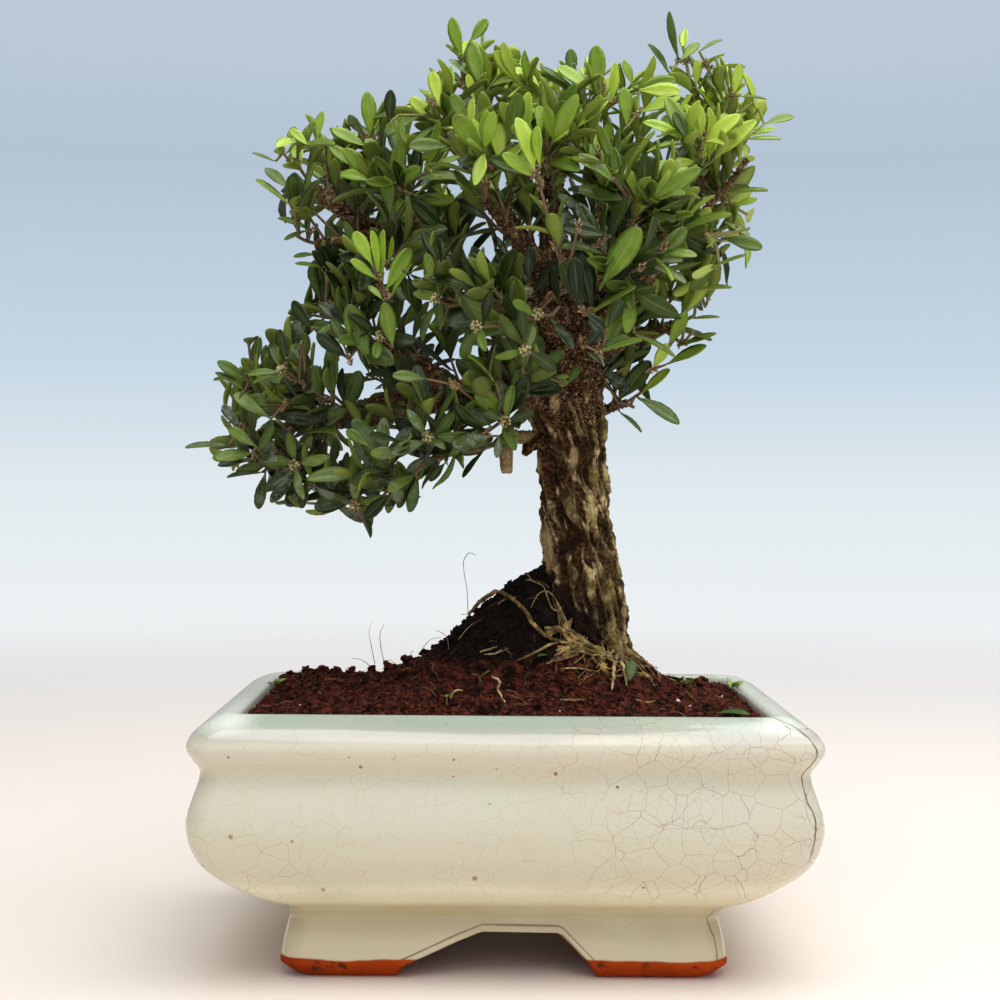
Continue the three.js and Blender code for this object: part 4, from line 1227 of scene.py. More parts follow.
# On the branches rust and painted shade are strongest near the middle of the crown.
paint(branches, "rust", np.clip(0.95 - (np.abs(spots[:, 0] - 15) - 8) / 90, 0.6, 1))
paint(branches, "moss", np.full(len(spots), 0.3))
of_stub = np.arange(len(spots)) >= len(spots) - len(limbs[-1][0])
paint(branches, "scar", of_stub * np.where(spots[:, 2] < 143.5, 0.9, 0.55))
print("branch faces:", len(branches.data.polygons))

# %% Flakes on the old wood
def flake(seed):
    """A dry scale of bark that stands off the wood at one end."""
    points, faces = ball(1, 4)
    points = points * (1.0, 0.34 + 0.05 * seed, 0.13) + waves(points, (0.12, 0.6, seed))[:, None]
    points[:, 2] += 0.2 * points[:, 0] ** 2
    return points, faces, None


flake_finish, tree, shader, where = new_material("bark_flake", Roughness=0.85,
                                                 Specular_IOR_Level=0.2)
tone = noise_mask(tree, where, 1300, 2)
tone = tinted(tree, step_up(tree, tone, 0.40, 0.66), colour(0.035, 0.015, 0.009),
              colour(0.50, 0.29, 0.16))
base_colour(tree, shader, tone)
bumpy(tree, shader, crumb_height(tree, where, 2500.0, 0.0002), 0.6)
flake_shapes = shape_set("flake", [flake(seed) for seed in range(4)])
for piece, seed in ((trunk, 20), (branches, 21)):
    flakes = copy_of(piece, "flakes_of_" + piece.name)
    spots = in_millimetres([v.co for v in piece.data.vertices])
    if piece is trunk:
        old_wood = spots[:, 2] > 157
    else:
        old_wood = (np.abs(spots[:, 0] - 8) < 72) & (spots[:, 2] > 155)
    paint(flakes, "open", old_wood.astype(float))
    grow(flakes, SCATTER, Shapes=flake_shapes, Per_Square_Metre=8.5e5, Smallest=0.45, Largest=1.35,
         Seed=seed, Finish=flake_finish)
    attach(flakes, "root")
    print(flakes.name, "faces:", len(flakes.data.polygons))
put_away(flake_shapes)

# %% Roots that creep over the mound
ROOTS = [  # x, y, radius from the trunk outwards
    [(21, -9, 1.7), (20, -14, 1.3), (15, -19, 0.8)],
    [(27, -10, 1.6), (29, -14, 1.0), (31, -18, 0.4)],
    [(33, -6, 1.8), (38, -9, 1.1), (44, -10, 0.5)],
    [(35, 3, 1.9), (42, 6, 1.3), (48, 8, 0.7)],
    [(24, 12, 1.9), (20, 20, 1.2), (15, 26, 0.7)],
    [(15, 8, 1.7), (6, 13, 1.1), (-1, 17, 0.6)],
]
TANGLES = 34  # thin roots that wander round the foot of the trunk
ROOTLETS = [  # pixels of the picture that a thin root runs through, radius, paleness
    ([(469, 615), (479, 602), (493, 593), (507, 596), (522, 608), (534, 626), (548, 638),
      (566, 644), (590, 648)], 0.72, 0.1),
    ([(546, 634), (560, 631), (576, 640), (592, 647), (604, 653)], 1.1, 0.1),
    ([(583, 624), (597, 627), (608, 634), (616, 646), (630, 656), (646, 664)], 1.15, 0.25),
    ([(604, 640), (616, 645), (630, 650), (642, 660), (656, 672)], 0.8, 0.3),
    ([(556, 652), (572, 649), (590, 651), (608, 657), (622, 664)], 0.75, 0.15),
    ([(560, 641), (545, 648), (530, 656), (516, 661)], 0.48, 0.2),
    ([(577, 655), (562, 660), (546, 665)], 0.4, 0.4),
    ([(574, 618), (566, 630), (570, 644), (580, 652)], 0.6, 0.2),
    ([(590, 634), (580, 648), (566, 656)], 0.5, 0.3),
    ([(612, 625), (618, 638), (613, 652), (603, 660)], 0.6, 0.3),
    ([(617, 655), (614, 670), (612, 690)], 0.6, 1.0),
    ([(621, 661), (625, 673), (626, 686)], 0.55, 1.0),
    ([(560, 669), (580, 669), (600, 673)], 0.25, 0.6),
    ([(492, 677), (499, 681), (498, 690), (505, 703)], 0.4, 1.0),
    ([(450, 700), (455, 692), (463, 691)], 0.35, 0.9),
    ([(571, 592), (577, 603), (581, 614)], 0.25, 0.5),
    ([(596, 668), (604, 655), (600, 640), (590, 633)], 0.2, 0.4),
    ([(608, 630), (622, 640), (640, 651), (650, 668)], 0.22, 0.6),
    ([(600, 632), (616, 627), (630, 631), (641, 640)], 0.3, 0.6),
    ([(632, 655), (646, 662), (657, 672), (660, 682)], 0.3, 0.4),
    ([(636, 700), (648, 703), (655, 701)], 0.25, 0.7),
    ([(560, 700), (572, 701), (584, 701)], 0.35, 0.8),
    ([(480, 653), (488, 650), (497, 647)], 0.3, 0.6),
    ([(484, 655), (494, 654), (502, 650)], 0.25, 0.7),
]
HAIRS = [  # fibres that stand up from the soil
    [(468, 615), (467, 590), (464, 572), (464, 560), (469, 553), (476, 555)],
    [(375, 664), (371, 645), (369, 632), (372, 620)],
    [(384, 662), (381, 648), (380, 634), (384, 624)], [(372, 668), (362, 660), (352, 658)],
    [(420, 652), (430, 640), (441, 637)], [(449, 650), (446, 636), (436, 630)],
    [(458, 640), (470, 626), (484, 618)],
]


def tangle(seed):
    """A thin root that wanders from the foot of the trunk over the soil."""
    random = np.random.default_rng(seed)
    turn = math.radians(random.uniform(-150, 15))
    away = random.uniform(12, 15.5)
    spot = np.array([24 + away * math.cos(turn), 1 + away * math.sin(turn)])
    heading = turn + random.choice((-1, 1)) * random.normal(1.35, 0.35)
    radius, rise = 0.16 + 0.34 * random.random() ** 2, random.uniform(0.0, 0.8)
    places = []
    for _ in range(7):
        places.append((*spot, 0, radius))
        heading += random.normal(0, 0.45)
        spot = spot + random.uniform(1.3, 2.8) * np.array([math.cos(heading), math.sin(heading)])
        radius *= 0.9
    line = smooth_line(places, 26)
    arc = rise * np.sin(np.linspace(0.5, math.pi, 26))
    line[:, 2] = soil_height(line[:, 0], line[:, 1]) + arc - 0.1
    return line


def root_line(root):
    line = smooth_line([(x, y, 0, radius) for x, y, radius in root], 12 * len(root))
    sink = np.interp(np.arange(len(line)), (0, 11), (4, 0.15))
    line[:, 2] = soil_height(line[:, 0], line[:, 1]) - sink * np.minimum(line[:, 3], 1)
    return line


def hair_line(pixels):
    """A line through pixels, all as far back as the soil under the first one."""
    back = on_soil(*pixels[0])[1]
    line = smooth_line([(*seen_at(px, py, back), 0.13) for px, py in pixels], 5 * len(pixels))
    line[:, 3] *= np.linspace(1, 0.55, len(line))
    return line


def rootlet_line(pixels, radius):
    lift = 0.6 + 0.9 * radius
    line = smooth_line([(*on_soil(px, py + 3 * lift, lift), radius) for px, py in pixels],
                       6 * len(pixels))
    line[:, 3] *= np.interp(np.linspace(0, 1, len(line)), (0, 0.15, 0.7, 1), (0.75, 1, 0.9, 0.35))
    sway, (seed_x, seed_z) = 0.9 * min(radius, 0.5), pixels[0]
    line[1:-1, 0] += waves(line[1:-1, :3], (sway, 1.1, seed_x))
    line[1:-1, 2] += waves(line[1:-1, :3], (sway, 1.3, seed_z))
    return line


root_finish, tree, shader, where = new_material("creeping_root", Roughness=0.8,
                                                Specular_IOR_Level=0.15)
fine = noise_mask(tree, where, 500, 4, 0.65)
tan = tinted(tree, step_up(tree, fine, 0.38, 0.68), colour(0.04, 0.02, 0.007),
             colour(0.56, 0.36, 0.11))
green = mottle(tree, where, 150.0, 0.42, 0.6)
tan = layer(tree, tan, green, 0.45, (0.17, 0.17, 0.03))
tan = tinted(tree, attribute(tree, "pale"), tan, colour(0.80, 0.58, 0.30))
soiled = mottle(tree, where, 240.0, 0.42, 0.6)
base_colour(tree, shader, tinted(tree, times(tree, soiled, 0.7), tan, colour(0.045, 0.02, 0.01)))
bumpy(tree, shader, crumb_height(tree, where, 1200.0, 0.0004), 0.8)

beside = []  # thinner copies that cross the thick ones
for k, (pixels, radius, pale) in enumerate(ROOTLETS[1:5] + ROOTLETS[7:9]):
    for side in (-1, 1):
        crossing = [(px + 1.5 * side, py + 4.5 * side * math.cos(k + 1.7 * i))
                    for i, (px, py) in enumerate(pixels)]
        beside.append((crossing, 0.55 * radius, min(1, pale + 0.2)))
lines = [root_line(root) for root in ROOTS] + [tangle(seed) for seed in range(TANGLES)]
lines += [rootlet_line(pixels, radius) for pixels, radius, _ in ROOTLETS + beside]
lines += [hair_line(pixels) for pixels in HAIRS]
paleness = [0.0] * len(ROOTS) + [0.3 * (k * 0.618 % 1) for k in range(TANGLES)]
paleness += [0.75 * pale for *_, pale in ROOTLETS + beside] + [0.25] * len(HAIRS)
shapes = [tube(line, 12 if k < len(ROOTS) else 6, limb_relief(1.1 if k < len(ROOTS) else 0.3))
          for k, line in enumerate(lines)]
roots = new_piece("surface_roots", *gathered(shapes), root_finish)
counts = [len(some) for some, _ in shapes]
paint(roots, "pale", np.repeat(paleness, counts))
for piece in (trunk, branches, roots):
    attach(piece, "root")
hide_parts("tree_wood")
print("root faces:", len(roots.data.polygons))

# %% [markdown]
# ## Leaves
# A boxwood leaf is a leathery oval with a round tip, a pale rib and a thin pale rim.  New
# leaves at the top are yellow-green, old ones nearly black-green, and those of the low
# left pad are dulled by water spots.  Each leaf here is a thin closed shell of a few
# dozen faces, in a few bent forms.  Its map runs from stalk to tip and across, so one
# material can draw the rib and the rim, and tell the waxy face from the pale underside.

# %% Leaf shapes
LEAF_LENGTH, LEAF_WIDTH = 12.5, 4.6
LEAF_STATIONS = (0, 0.12, 0.3, 0.5, 0.7, 0.86, 0.96, 1)
ACROSS = (-1, -0.52, 0, 0.52, 1)


def leaf(bend, fold, roll, widest=1.4, slimness=1.0):
    """One leaf along +x with its waxy face up: points, faces and a map for each corner."""
    top, below = [], []
    for u in LEAF_STATIONS:
        swell = max(math.sin(math.pi * u ** widest), 0.0) ** 0.5 * min(1, 0.22 + u / 0.5)
        half = 0.5 * LEAF_WIDTH * slimness * max(swell, 0.12)
        for v in ACROSS:
            groove = (0.14 if v == 0 else 0) * (1 - 0.6 * u)
            y, z = v * half, fold * abs(v) * half - bend * u * u - groove
            turn = roll * u
            y, z = y * math.cos(turn) - z * math.sin(turn), y * math.sin(turn) + z * math.cos(turn)
            top.append((u * LEAF_LENGTH - 0.04 * bend * bend * u * u, y, z))
            below.append((top[-1][0], y, z - (0.38 if v == 0 else 0.24)))
    rows, wide = len(LEAF_STATIONS), len(ACROSS)
    points, under = list(top), {}
    for k in range(rows * wide):
        at_edge = k % wide in (0, wide - 1) or k // wide in (0, rows - 1)
        under[k] = k if at_edge else len(points)
        if not at_edge:
            points.append(below[k])
    faces, maps = [], []
    for i in range(rows - 1):
        for j in range(wide - 1):
            quad = [i * wide + j, (i + 1) * wide + j, (i + 1) * wide + j + 1, i * wide + j + 1]
            spots = [(LEAF_STATIONS[k // wide], 0.5 + 0.5 * ACROSS[k % wide]) for k in quad]
            faces += [tuple(reversed(quad)), tuple(under[k] for k in quad)]
            maps += spots[::-1] + [(u + 2, v) for u, v in spots]
    return np.array(points), faces, maps


def one_shape(shapes):
    points, faces = gathered(shapes)
    return points, faces, [(0, 0)] * sum(len(face) for face in faces)


def bud_head():
    """Flower buds packed in a small head that points along +x."""
    shapes = []
    for k in range(13):
        turn, lean = 2.4 * k, 0.42 * math.sqrt(k)
        way = np.array([math.cos(lean), math.sin(lean) * math.cos(turn),
                        math.sin(lean) * math.sin(turn)])
        points, faces = ball(1, 5)
        shapes.append((points * (0.66 - 0.012 * k) + way * 1.5 + (0.7, 0, 0), faces))
    return one_shape(shapes)


def scale_tuft():
    """Dry bud scales round a fork of the twigs."""
    shapes = []
    for k in range(9):
        turn, out = 2.4 * k, 0.75 + 0.05 * k
        way = np.array([0, math.cos(turn), math.sin(turn)])
        points, faces = ball(2, 4)
        points = points * (0.35, 0.35, 1.0)
        points = np.stack([points[:, 2], points[:, 0], points[:, 1]], axis=1)
        lean = points[:, :1] * 0.42 * way
        shapes.append((points + lean + way * out * 0.75 + (0.4 * k - 1.6, 0, 0), faces))
    return one_shape(shapes)


LEAF_FORMS = [
    leaf(0.8, 0.25, 0.0), leaf(2.2, 0.38, 0.1, 1.15, 0.86), leaf(-0.3, 0.18, -0.15, 1.6, 1.05),
    leaf(1.6, 0.5, -0.25, 1.2, 0.8), leaf(3.2, 0.3, 0.2, 1.4),
]
ROUND_LEAVES = [leaf(1.6, 0.15, 0.0, 1.3, 2.1), leaf(0.8, 0.3, 0.2, 1.2, 1.8)]
print("faces in one leaf:", len(LEAF_FORMS[0][1]))

# %% Leaf material
leaf_finish, tree, shader, where = new_material(
    "boxwood_leaf", Roughness=0.28, Specular_IOR_Level=0.45, Specular_Tint=(0.9, 1.0, 0.75, 1.0))
leaf_map = axes(tree, node(tree, "ShaderNodeUVMap", uv_map="leaf_map").outputs["UV"])
underside = calc(tree, "GREATER_THAN", leaf_map["X"], 1.5)
from_rib = calc(tree, "ABSOLUTE", minus(tree, leaf_map["Y"], 0.5))
# The pale film: dried water drops on the low left pad, painted sheen on a few leaves elsewhere.
dust_and_sheen_mask = attribute(tree, "dust")
patchy = noise_mask(tree, where, 230, 3, 0.6)
shade = times(tree, minus(tree, patchy, 0.5), 0.3)
age_and_light = plus(tree, attribute(tree, "tint"), shade, clamp=True)
# The tint runs from near-black green to yellow-green; it holds the leaf's age and also painted
# light and shade.
LEAF_AGE_AND_LIGHT = [
    (0.0, (0.009, 0.017, 0.006)), (0.25, (0.036, 0.064, 0.013)), (0.5, (0.118, 0.198, 0.026)),
    (0.78, (0.27, 0.43, 0.038)), (1.0, (0.48, 0.64, 0.075)),
]
green = colour_ramp(tree, age_and_light, LEAF_AGE_AND_LIGHT)
rib = times(tree, step_up(tree, from_rib, 0.05, 0.012), step_up(tree, leaf_map["X"], 1.0, 0.7))
rim = step_up(tree, from_rib, 0.455, 0.495)
pale_green = tinted(tree, age_and_light, colour(0.13, 0.165, 0.045), colour(0.46, 0.53, 0.10))
green = tinted(tree, times(tree, rib, 0.6), green, pale_green)
green = tinted(tree, times(tree, rim, 0.55), green, pale_green)
bloom = mottle(tree, where, 330.0, 0.42, 0.6)
flecks = dots(tree, where, 1100.0, 0.42, 0.4)
dust_and_sheen_film = times(tree, plus(tree, bloom, flecks), 0.5)
dust_and_sheen_film = times(tree, dust_and_sheen_mask, dust_and_sheen_film)
green = layer(tree, green, dust_and_sheen_film, 0.9, (0.36, 0.40, 0.33))
below = tinted(tree, age_and_light, colour(0.075, 0.105, 0.028), colour(0.42, 0.53, 0.075))
below = layer(tree, below, rib, 0.5, (0.34, 0.38, 0.16))
green = tinted(tree, underside, green, below)
base_colour(tree, shader, green)
matt = calc(tree, "MAXIMUM", underside, times(tree, dust_and_sheen_film, 0.9))
tree.links.new(step_up(tree, matt, 0, 1, 0.62, 0.28), shader.inputs["Roughness"])
bumpy(tree, shader, times(tree, patchy, 0.0004), 0.35)
glow = node(tree, "ShaderNodeBsdfTranslucent", {"Color": green})
through = node(tree, "ShaderNodeMixShader", {
    0: step_up(tree, age_and_light, 0.2, 0.9, 0.14, 0.34), 1: shader.outputs[0], 2: glow.outputs[0]})
tree.links.new(through.outputs[0], tree.nodes["Material Output"].inputs["Surface"])

# %% Twig, bud and scale materials
twig_finish, tree, shader, where = new_material("twig_bark", Roughness=0.72,
                                                Specular_IOR_Level=0.35)
fine = noise_mask(tree, where, 520, 4, 0.65)
old_twig = tinted(tree, fine, colour(0.055, 0.032, 0.018), colour(0.30, 0.20, 0.11))
new_twig = tinted(tree, fine, colour(0.12, 0.15, 0.035), colour(0.34, 0.36, 0.11))
# The twig tint comes from the leaves' rule, so it holds painted light and shade too.
base_colour(tree, shader, tinted(tree, step_up(tree, attribute(tree, "tint"), 0.45, 0.95), old_twig,
                                 new_twig))
bumpy(tree, shader, crumb_height(tree, where, 1100.0, 0.0004), 0.7)

bud_finish, tree, shader, where = new_material("bud_and_scale", Roughness=0.65)
fine = noise_mask(tree, where, 620, 3, 0.6)
head = tinted(tree, step_up(tree, fine, 0.36, 0.64), colour(0.12, 0.11, 0.03),
              colour(0.50, 0.43, 0.20))
scale = tinted(tree, step_up(tree, fine, 0.36, 0.66), colour(0.09, 0.05, 0.025),
               colour(0.56, 0.36, 0.19))
base_colour(tree, shader, tinted(tree, attribute(tree, "tint"), scale, head))
bumpy(tree, shader, crumb_height(tree, where, 1500.0, 0.0003), 0.6)

# %% [markdown]
# ## Sprays
# Each branch ends in sprays: a twig, side shoots round it by the golden angle, and
# pairs of leaves, each pair crossed with the next.  The solids hold the first shoots
# and leaves of every spray by a seeded rule.  The same rule is repeated here, so those
# leaves fall exactly where they are in the solid, and more shoots of the same rule
# fill the spray out.

# %% The growing rule
UP = np.array([0.0, 0, 1])
GOLDEN_ANGLE = math.radians(137.5)
BENDS = (0, 4, -4, 8, -8)
SHIFTS = (0, -0.05, 0.05, -0.1, 0.1, -0.15, -0.2)
TWISTS = (0, 0.4, -0.4, 0.8, -0.8, 1.2)
MATCH = 0.03  # millimetres within which a corner of the solid counts as found
TWIG_RADIUS, TIP_RADIUS = 1.3, 0.75


def draws(seed):
    """The solid's own sequence of numbers from 0 to 1."""
    state = seed

    def following():
        nonlocal state
        state = state * 16807 % 2147483647
        return state / 2147483647

    following()
    following()
    return following


def unit(vector):
    return vector / max(np.linalg.norm(vector), 1e-9)


def along(line, share):
    place = share * (len(line) - 1)
    k = min(int(place), len(line) - 2)
    return line[k] + (line[k + 1] - line[k]) * (place - k)


def shoot_line(base, tip, radius, bend, count=3):
    sideways = unit(np.array([tip[1] - base[1], base[0] - tip[0], 0]))
    middle = (base + tip) / 2 - UP * 0.12 * np.linalg.norm(tip - base) + sideways * bend
    rows = []
    for t in np.linspace(0, 1, count):
        spot = base * (1 - t) ** 2 + middle * 2 * t * (1 - t) + tip * t * t
        rows.append((*spot, radius + (TIP_RADIUS - radius) * t))
    return np.array(rows)


def frame_at(line, share):
    here = along(line, share)[:3]
    forward = unit(along(line, min(share + 0.15, 1))[:3] - along(line, max(share - 0.15, 0))[:3])
    side = np.cross(UP, forward)
    side = unit(side) if np.linalg.norm(side) >= 0.1 else np.array([1.0, 0, 0])
    return here, forward, side, np.cross(forward, side)


def radial(place, azimuth):
    return place[2] * math.cos(azimuth) + place[3] * math.sin(azimuth)


def side_shoot(line, share, turn, length, mix=(0.6, 0.8, 0.3)):
    place = frame_at(line, share)
    direction = unit(place[1] * mix[0] + radial(place, turn) * mix[1] + UP * mix[2])
    return np.array([(*place[0], 0.85), (*(place[0] + direction * length), TIP_RADIUS)])


def leaf_axes(place, azimuth, lean):
    outward = radial(place, azimuth)
    reach = place[1] * math.cos(lean) + outward * math.sin(lean)
    return reach, place[1] * math.sin(lean) - outward * math.cos(lean)


def hits(corners, spot, radius):
    """How many of a solid's corners lie at a distance from a spot."""
    off = np.linalg.norm(corners - spot, axis=1) - radius
    return int(np.sum(np.abs(off) < MATCH))


def find_twig(line, share, tip, seed, corners):
    """The twig and two side shoots of the solid, among the ones that its rule can try."""
    best = (-1,)
    for trial, (bend, shift) in enumerate((b, s) for b in BENDS for s in SHIFTS):
        random = draws(seed + trial)
        base = along(line, min(share + shift, 1))
        twig = shoot_line(base[:3], tip, min(TWIG_RADIUS, 0.95 * base[3]), bend)
        turn = random() * 2 * math.pi
        shoots = []
        for k in (0, 1):
            place = 0.4 + 0.5 * ((0.3 + 0.618 * k) % 1)
            shoots.append(side_shoot(twig, place, turn + k * GOLDEN_ANGLE, 10 + 4 * random()))
        score = sum(hits(corners, shoot[-1][:3], TIP_RADIUS) for shoot in shoots)
        score += hits(corners, twig[1][:3], twig[1][3])
        if score > best[0]:
            best = (score, twig, shoots, random, turn, bend)
    return best


# %% Leaves of the solid and the rest
SOLID_ON_TWIG = ((0.94, 40, 0.92), (0.72, 58, 1.06))  # share along the twig, lean, size
SOLID_ON_SHOOT = ((0.9, 48, 0.98),)


def leaf_record(place, azimuth, lean, scale, endness):
    reach, face = leaf_axes(place, azimuth, lean)
    return place[0] + radial(place, azimuth) * 0.2, reach, face, scale, endness


def solid_leaves(twig, shoots, random, corners):
    """The leaves of the solid: each one's twist is the one that its corners show."""
    found = []
    rows = [(twig, SOLID_ON_TWIG)] + [(shoot, SOLID_ON_SHOOT) for shoot in shoots]
    for line, pairs in rows:
        turn = random() * math.pi
        for k, (share, lean, size) in enumerate(pairs):
            place = frame_at(line, share)
            for half in (0, math.pi):
                tilt = math.radians(lean + 14 * (random() - 0.5))
                scale = size * (0.9 + 0.2 * random())
                for twist in TWISTS:
                    azimuth = turn + half + k * math.pi / 2 + twist
                    reach, face = leaf_axes(place, azimuth, tilt)
                    tip = place[0] + reach * 0.97 * LEAF_LENGTH * scale
                    wide = np.cross(reach, face) * 0.42 * LEAF_WIDTH * scale / 2
                    if hits(corners, tip + wide, 0) or hits(corners, tip - wide, 0):
                        found.append(leaf_record(place, azimuth, tilt, scale, share))
                        break
    return found


# The outline of the trimmed crown, in pixels
CROWN_OUTLINE = [
    (194, 445), (226, 440), (222, 412), (230, 392), (219, 364), (240, 352), (252, 330), (276, 320),
    (292, 302), (318, 296), (318, 268), (306, 256), (294, 240), (304, 222), (288, 204), (276, 182),
    (290, 172), (262, 152), (288, 140), (314, 107), (324, 124), (344, 118), (366, 96), (374, 112),
    (390, 92), (408, 98), (424, 84), (434, 58), (446, 46), (452, 22), (464, 44), (485, 17),
    (486, 44), (512, 44), (540, 54), (554, 66), (571, 48), (582, 64), (596, 44), (606, 78),
    (624, 60), (634, 84), (648, 84), (648, 42), (662, 50), (671, 14), (682, 48), (702, 38),
    (716, 60), (738, 64), (748, 90), (768, 96), (764, 112), (793, 117), (768, 142), (748, 156),
    (758, 186), (750, 214), (758, 244), (722, 256), (712, 280), (694, 300), (696, 322), (700, 340),
    (678, 352), (664, 378), (646, 392), (656, 402), (634, 404), (612, 408), (600, 372), (560, 388),
    (540, 420), (508, 448), (472, 446), (478, 470), (446, 464), (418, 498), (408, 514), (384, 508),
    (372, 540), (358, 506), (330, 508), (300, 512), (284, 498), (266, 502), (264, 478), (246, 466),
    (222, 468),
]
# Outlines of pixels where the wood shows, and the y before which no leaf may hang there
WINDOWS = [
    ([(540, 240), (572, 240), (592, 285), (596, 350), (560, 372), (545, 352), (533, 300)], -6),
    ([(316, 190), (332, 194), (374, 220), (398, 240), (380, 248), (346, 234), (318, 208)], 2),
]


def within(spot, outline, slack=0.0):
    """True if the camera sees a spot inside an outline of pixels, or about slack outside it."""
    px, py = pixel_of(spot)
    px, py = px + slack * (500 - px) / 250, py + slack * (270 - py) / 200
    inside = False
    for (ax, ay), (bx, by) in zip(outline, outline[1:] + outline[:1]):
        if (ay > py) != (by > py) and px < ax + (py - ay) * (bx - ax) / (by - ay):
            inside = not inside
    return inside


def in_window(spot):
    return any(within(spot, outline) and spot[1] < front for outline, front in WINDOWS)


def is_trimmed(spot, reach, scale):
    middle, tip = spot + reach * LEAF_LENGTH * scale * 0.5, spot + reach * LEAF_LENGTH * scale
    return in_window(middle) or in_window(tip) or not within(tip, CROWN_OUTLINE)


def more_leaves(line, pairs, random, skipped=0.22):
    """Further pairs of leaves, as share along the shoot, lean and size."""
    turn = random() * math.pi
    kept = []
    for k, (share, lean, size) in enumerate(pairs):
        place = frame_at(line, share)
        for half in (0, math.pi):
            tilt = math.radians(lean + 22 * (random() - 0.5))
            azimuth = turn + half + k * math.pi / 2 + 0.5 * (random() - 0.5)
            spot, reach, face, size_here, _ = leaf_record(place, azimuth, tilt,
                                                          size * (0.95 + 0.38 * random()), share)
            reach = unit(reach + 0.3 * UP)
            face = unit(face - reach * np.dot(face, reach))
            if random() > skipped and not is_trimmed(spot, reach, size_here):
                kept.append((spot, reach, face, size_here, share))
    return kept


def shoot_fits(shoot):
    tip = shoot[-1][:3]
    return within(tip, CROWN_OUTLINE) and not in_window(tip)


MORE_ON_TWIG = ((1.0, 20, 0.74), (0.85, 42, 0.95), (0.58, 52, 1.05), (0.42, 58, 1.0))
MORE_ON_SOLID_SHOOT = ((1.0, 20, 0.76), (0.6, 48, 1.05), (0.34, 56, 0.95))
ON_NEW_SHOOT = ((1.0, 18, 0.78), (0.8, 36, 1.0), (0.54, 48, 1.06), (0.26, 56, 0.9))
NEW_SHOOTS = 4


def leafy_spray(line, share, tip, seed, corners):
    """All twig lines and leaves of one spray."""
    score, twig, shoots, random, turn, bend = find_twig(line, share, tip, seed, corners)
    leaves = solid_leaves(twig, shoots, random, corners)
    kept = len(leaves)
    leaves = [one for one in leaves
              if within(one[0] + one[1] * LEAF_LENGTH * one[3], CROWN_OUTLINE, 9)]
    chance = draws(9000 + seed)
    leaves += more_leaves(twig, MORE_ON_TWIG, chance)
    for shoot in shoots:
        leaves += more_leaves(shoot, MORE_ON_SOLID_SHOOT, chance)
    long_twig = shoot_line(twig[0][:3], twig[-1][:3], 0.95, bend, 9)
    inside = [within(spot[:3], CROWN_OUTLINE, 5) for spot in long_twig]
    reached = max(3, inside.index(False, 3) if False in inside[3:] else 9)
    lines = [long_twig[:reached]] + [shoot for shoot in shoots
                                     if within(shoot[-1][:3], CROWN_OUTLINE, 6)]
    for k in range(2, 2 + NEW_SHOOTS):
        spot, length = 0.12 + 0.85 * ((0.3 + 0.618 * k) % 1), 10 + 6 * chance()
        mix = (0.5, 0.62, 0.25 + 0.5 * chance())
        shoot = side_shoot(twig, spot, turn + k * GOLDEN_ANGLE, length, mix)
        if not shoot_fits(shoot):
            shoot = side_shoot(twig, spot, turn + k * GOLDEN_ANGLE, 0.55 * length, mix)
        grown = more_leaves(shoot, ON_NEW_SHOOT, chance)
        if shoot_fits(shoot) and len(grown) > 2:
            lines.append(shoot)
            leaves += grown
    return lines, leaves, score, kept


# %% A tree that grows twigs, leaves and buds
SPRAY, source, result = new_group(
    "Spray",
    [("Skeleton", "NodeSocketGeometry", None), ("Leaf Shapes", "NodeSocketCollection", None),
     ("Twig Sides", "NodeSocketInt", 6), ("Leaf Scale", "NodeSocketFloat", 1.0),
     ("Leaf Finish", "NodeSocketMaterial", None), ("Twig Finish", "NodeSocketMaterial", None),
     ("Bud Shapes", "NodeSocketCollection", None), ("Bud Finish", "NodeSocketMaterial", None)],
    [("Spray", "NodeSocketGeometry")],
    "GeometryNodeTree",
)


def stored(label, data_type="FLOAT"):
    return node(SPRAY, "GeometryNodeInputNamedAttribute", {"Name": label},
                data_type=data_type).outputs["Attribute"]


rods = node(SPRAY, "GeometryNodeMeshToCurve", {"Mesh": source["Skeleton"]})
profile = node(SPRAY, "GeometryNodeCurvePrimitiveCircle",
               {"Resolution": source["Twig Sides"], "Radius": 1.0})
wood = node(SPRAY, "GeometryNodeCurveToMesh", {
    "Curve": rods.outputs[0], "Profile Curve": profile.outputs[0], "Scale": stored("thick"),
    "Fill Caps": True})
wood = node(SPRAY, "GeometryNodeSetMaterial",
            {"Geometry": wood.outputs[0], "Material": source["Twig Finish"]})
grown = [wood.outputs[0]]
for number, shapes, finish in ((1, "Leaf Shapes", "Leaf Finish"), (2, "Bud Shapes", "Bud Finish")):
    wanted = node(SPRAY, "FunctionNodeCompare", {2: stored("part", "INT"), 3: number},
                  data_type="INT", operation="EQUAL")
    picks = node(SPRAY, "GeometryNodeCollectionInfo", {
        "Collection": source[shapes], "Separate Children": True, "Reset Children": True})
    placed = node(SPRAY, "GeometryNodeInstanceOnPoints", {
        "Points": source["Skeleton"], "Selection": wanted.outputs[0], "Instance": picks.outputs[0],
        "Pick Instance": True, "Instance Index": stored("form", "INT"),
        "Rotation": stored("turn", "QUATERNION"),
        "Scale": times(SPRAY, stored("size"), source["Leaf Scale"])})
    real = node(SPRAY, "GeometryNodeRealizeInstances", {"Geometry": placed.outputs[0]})
    grown.append(node(SPRAY, "GeometryNodeSetMaterial", {
        "Geometry": real.outputs[0], "Material": source[finish]}).outputs[0])
joined = node(SPRAY, "GeometryNodeJoinGeometry")
for branch_of_tree in grown:
    SPRAY.links.new(branch_of_tree, joined.inputs[0])
SPRAY.links.new(joined.outputs[0], result["Spray"])

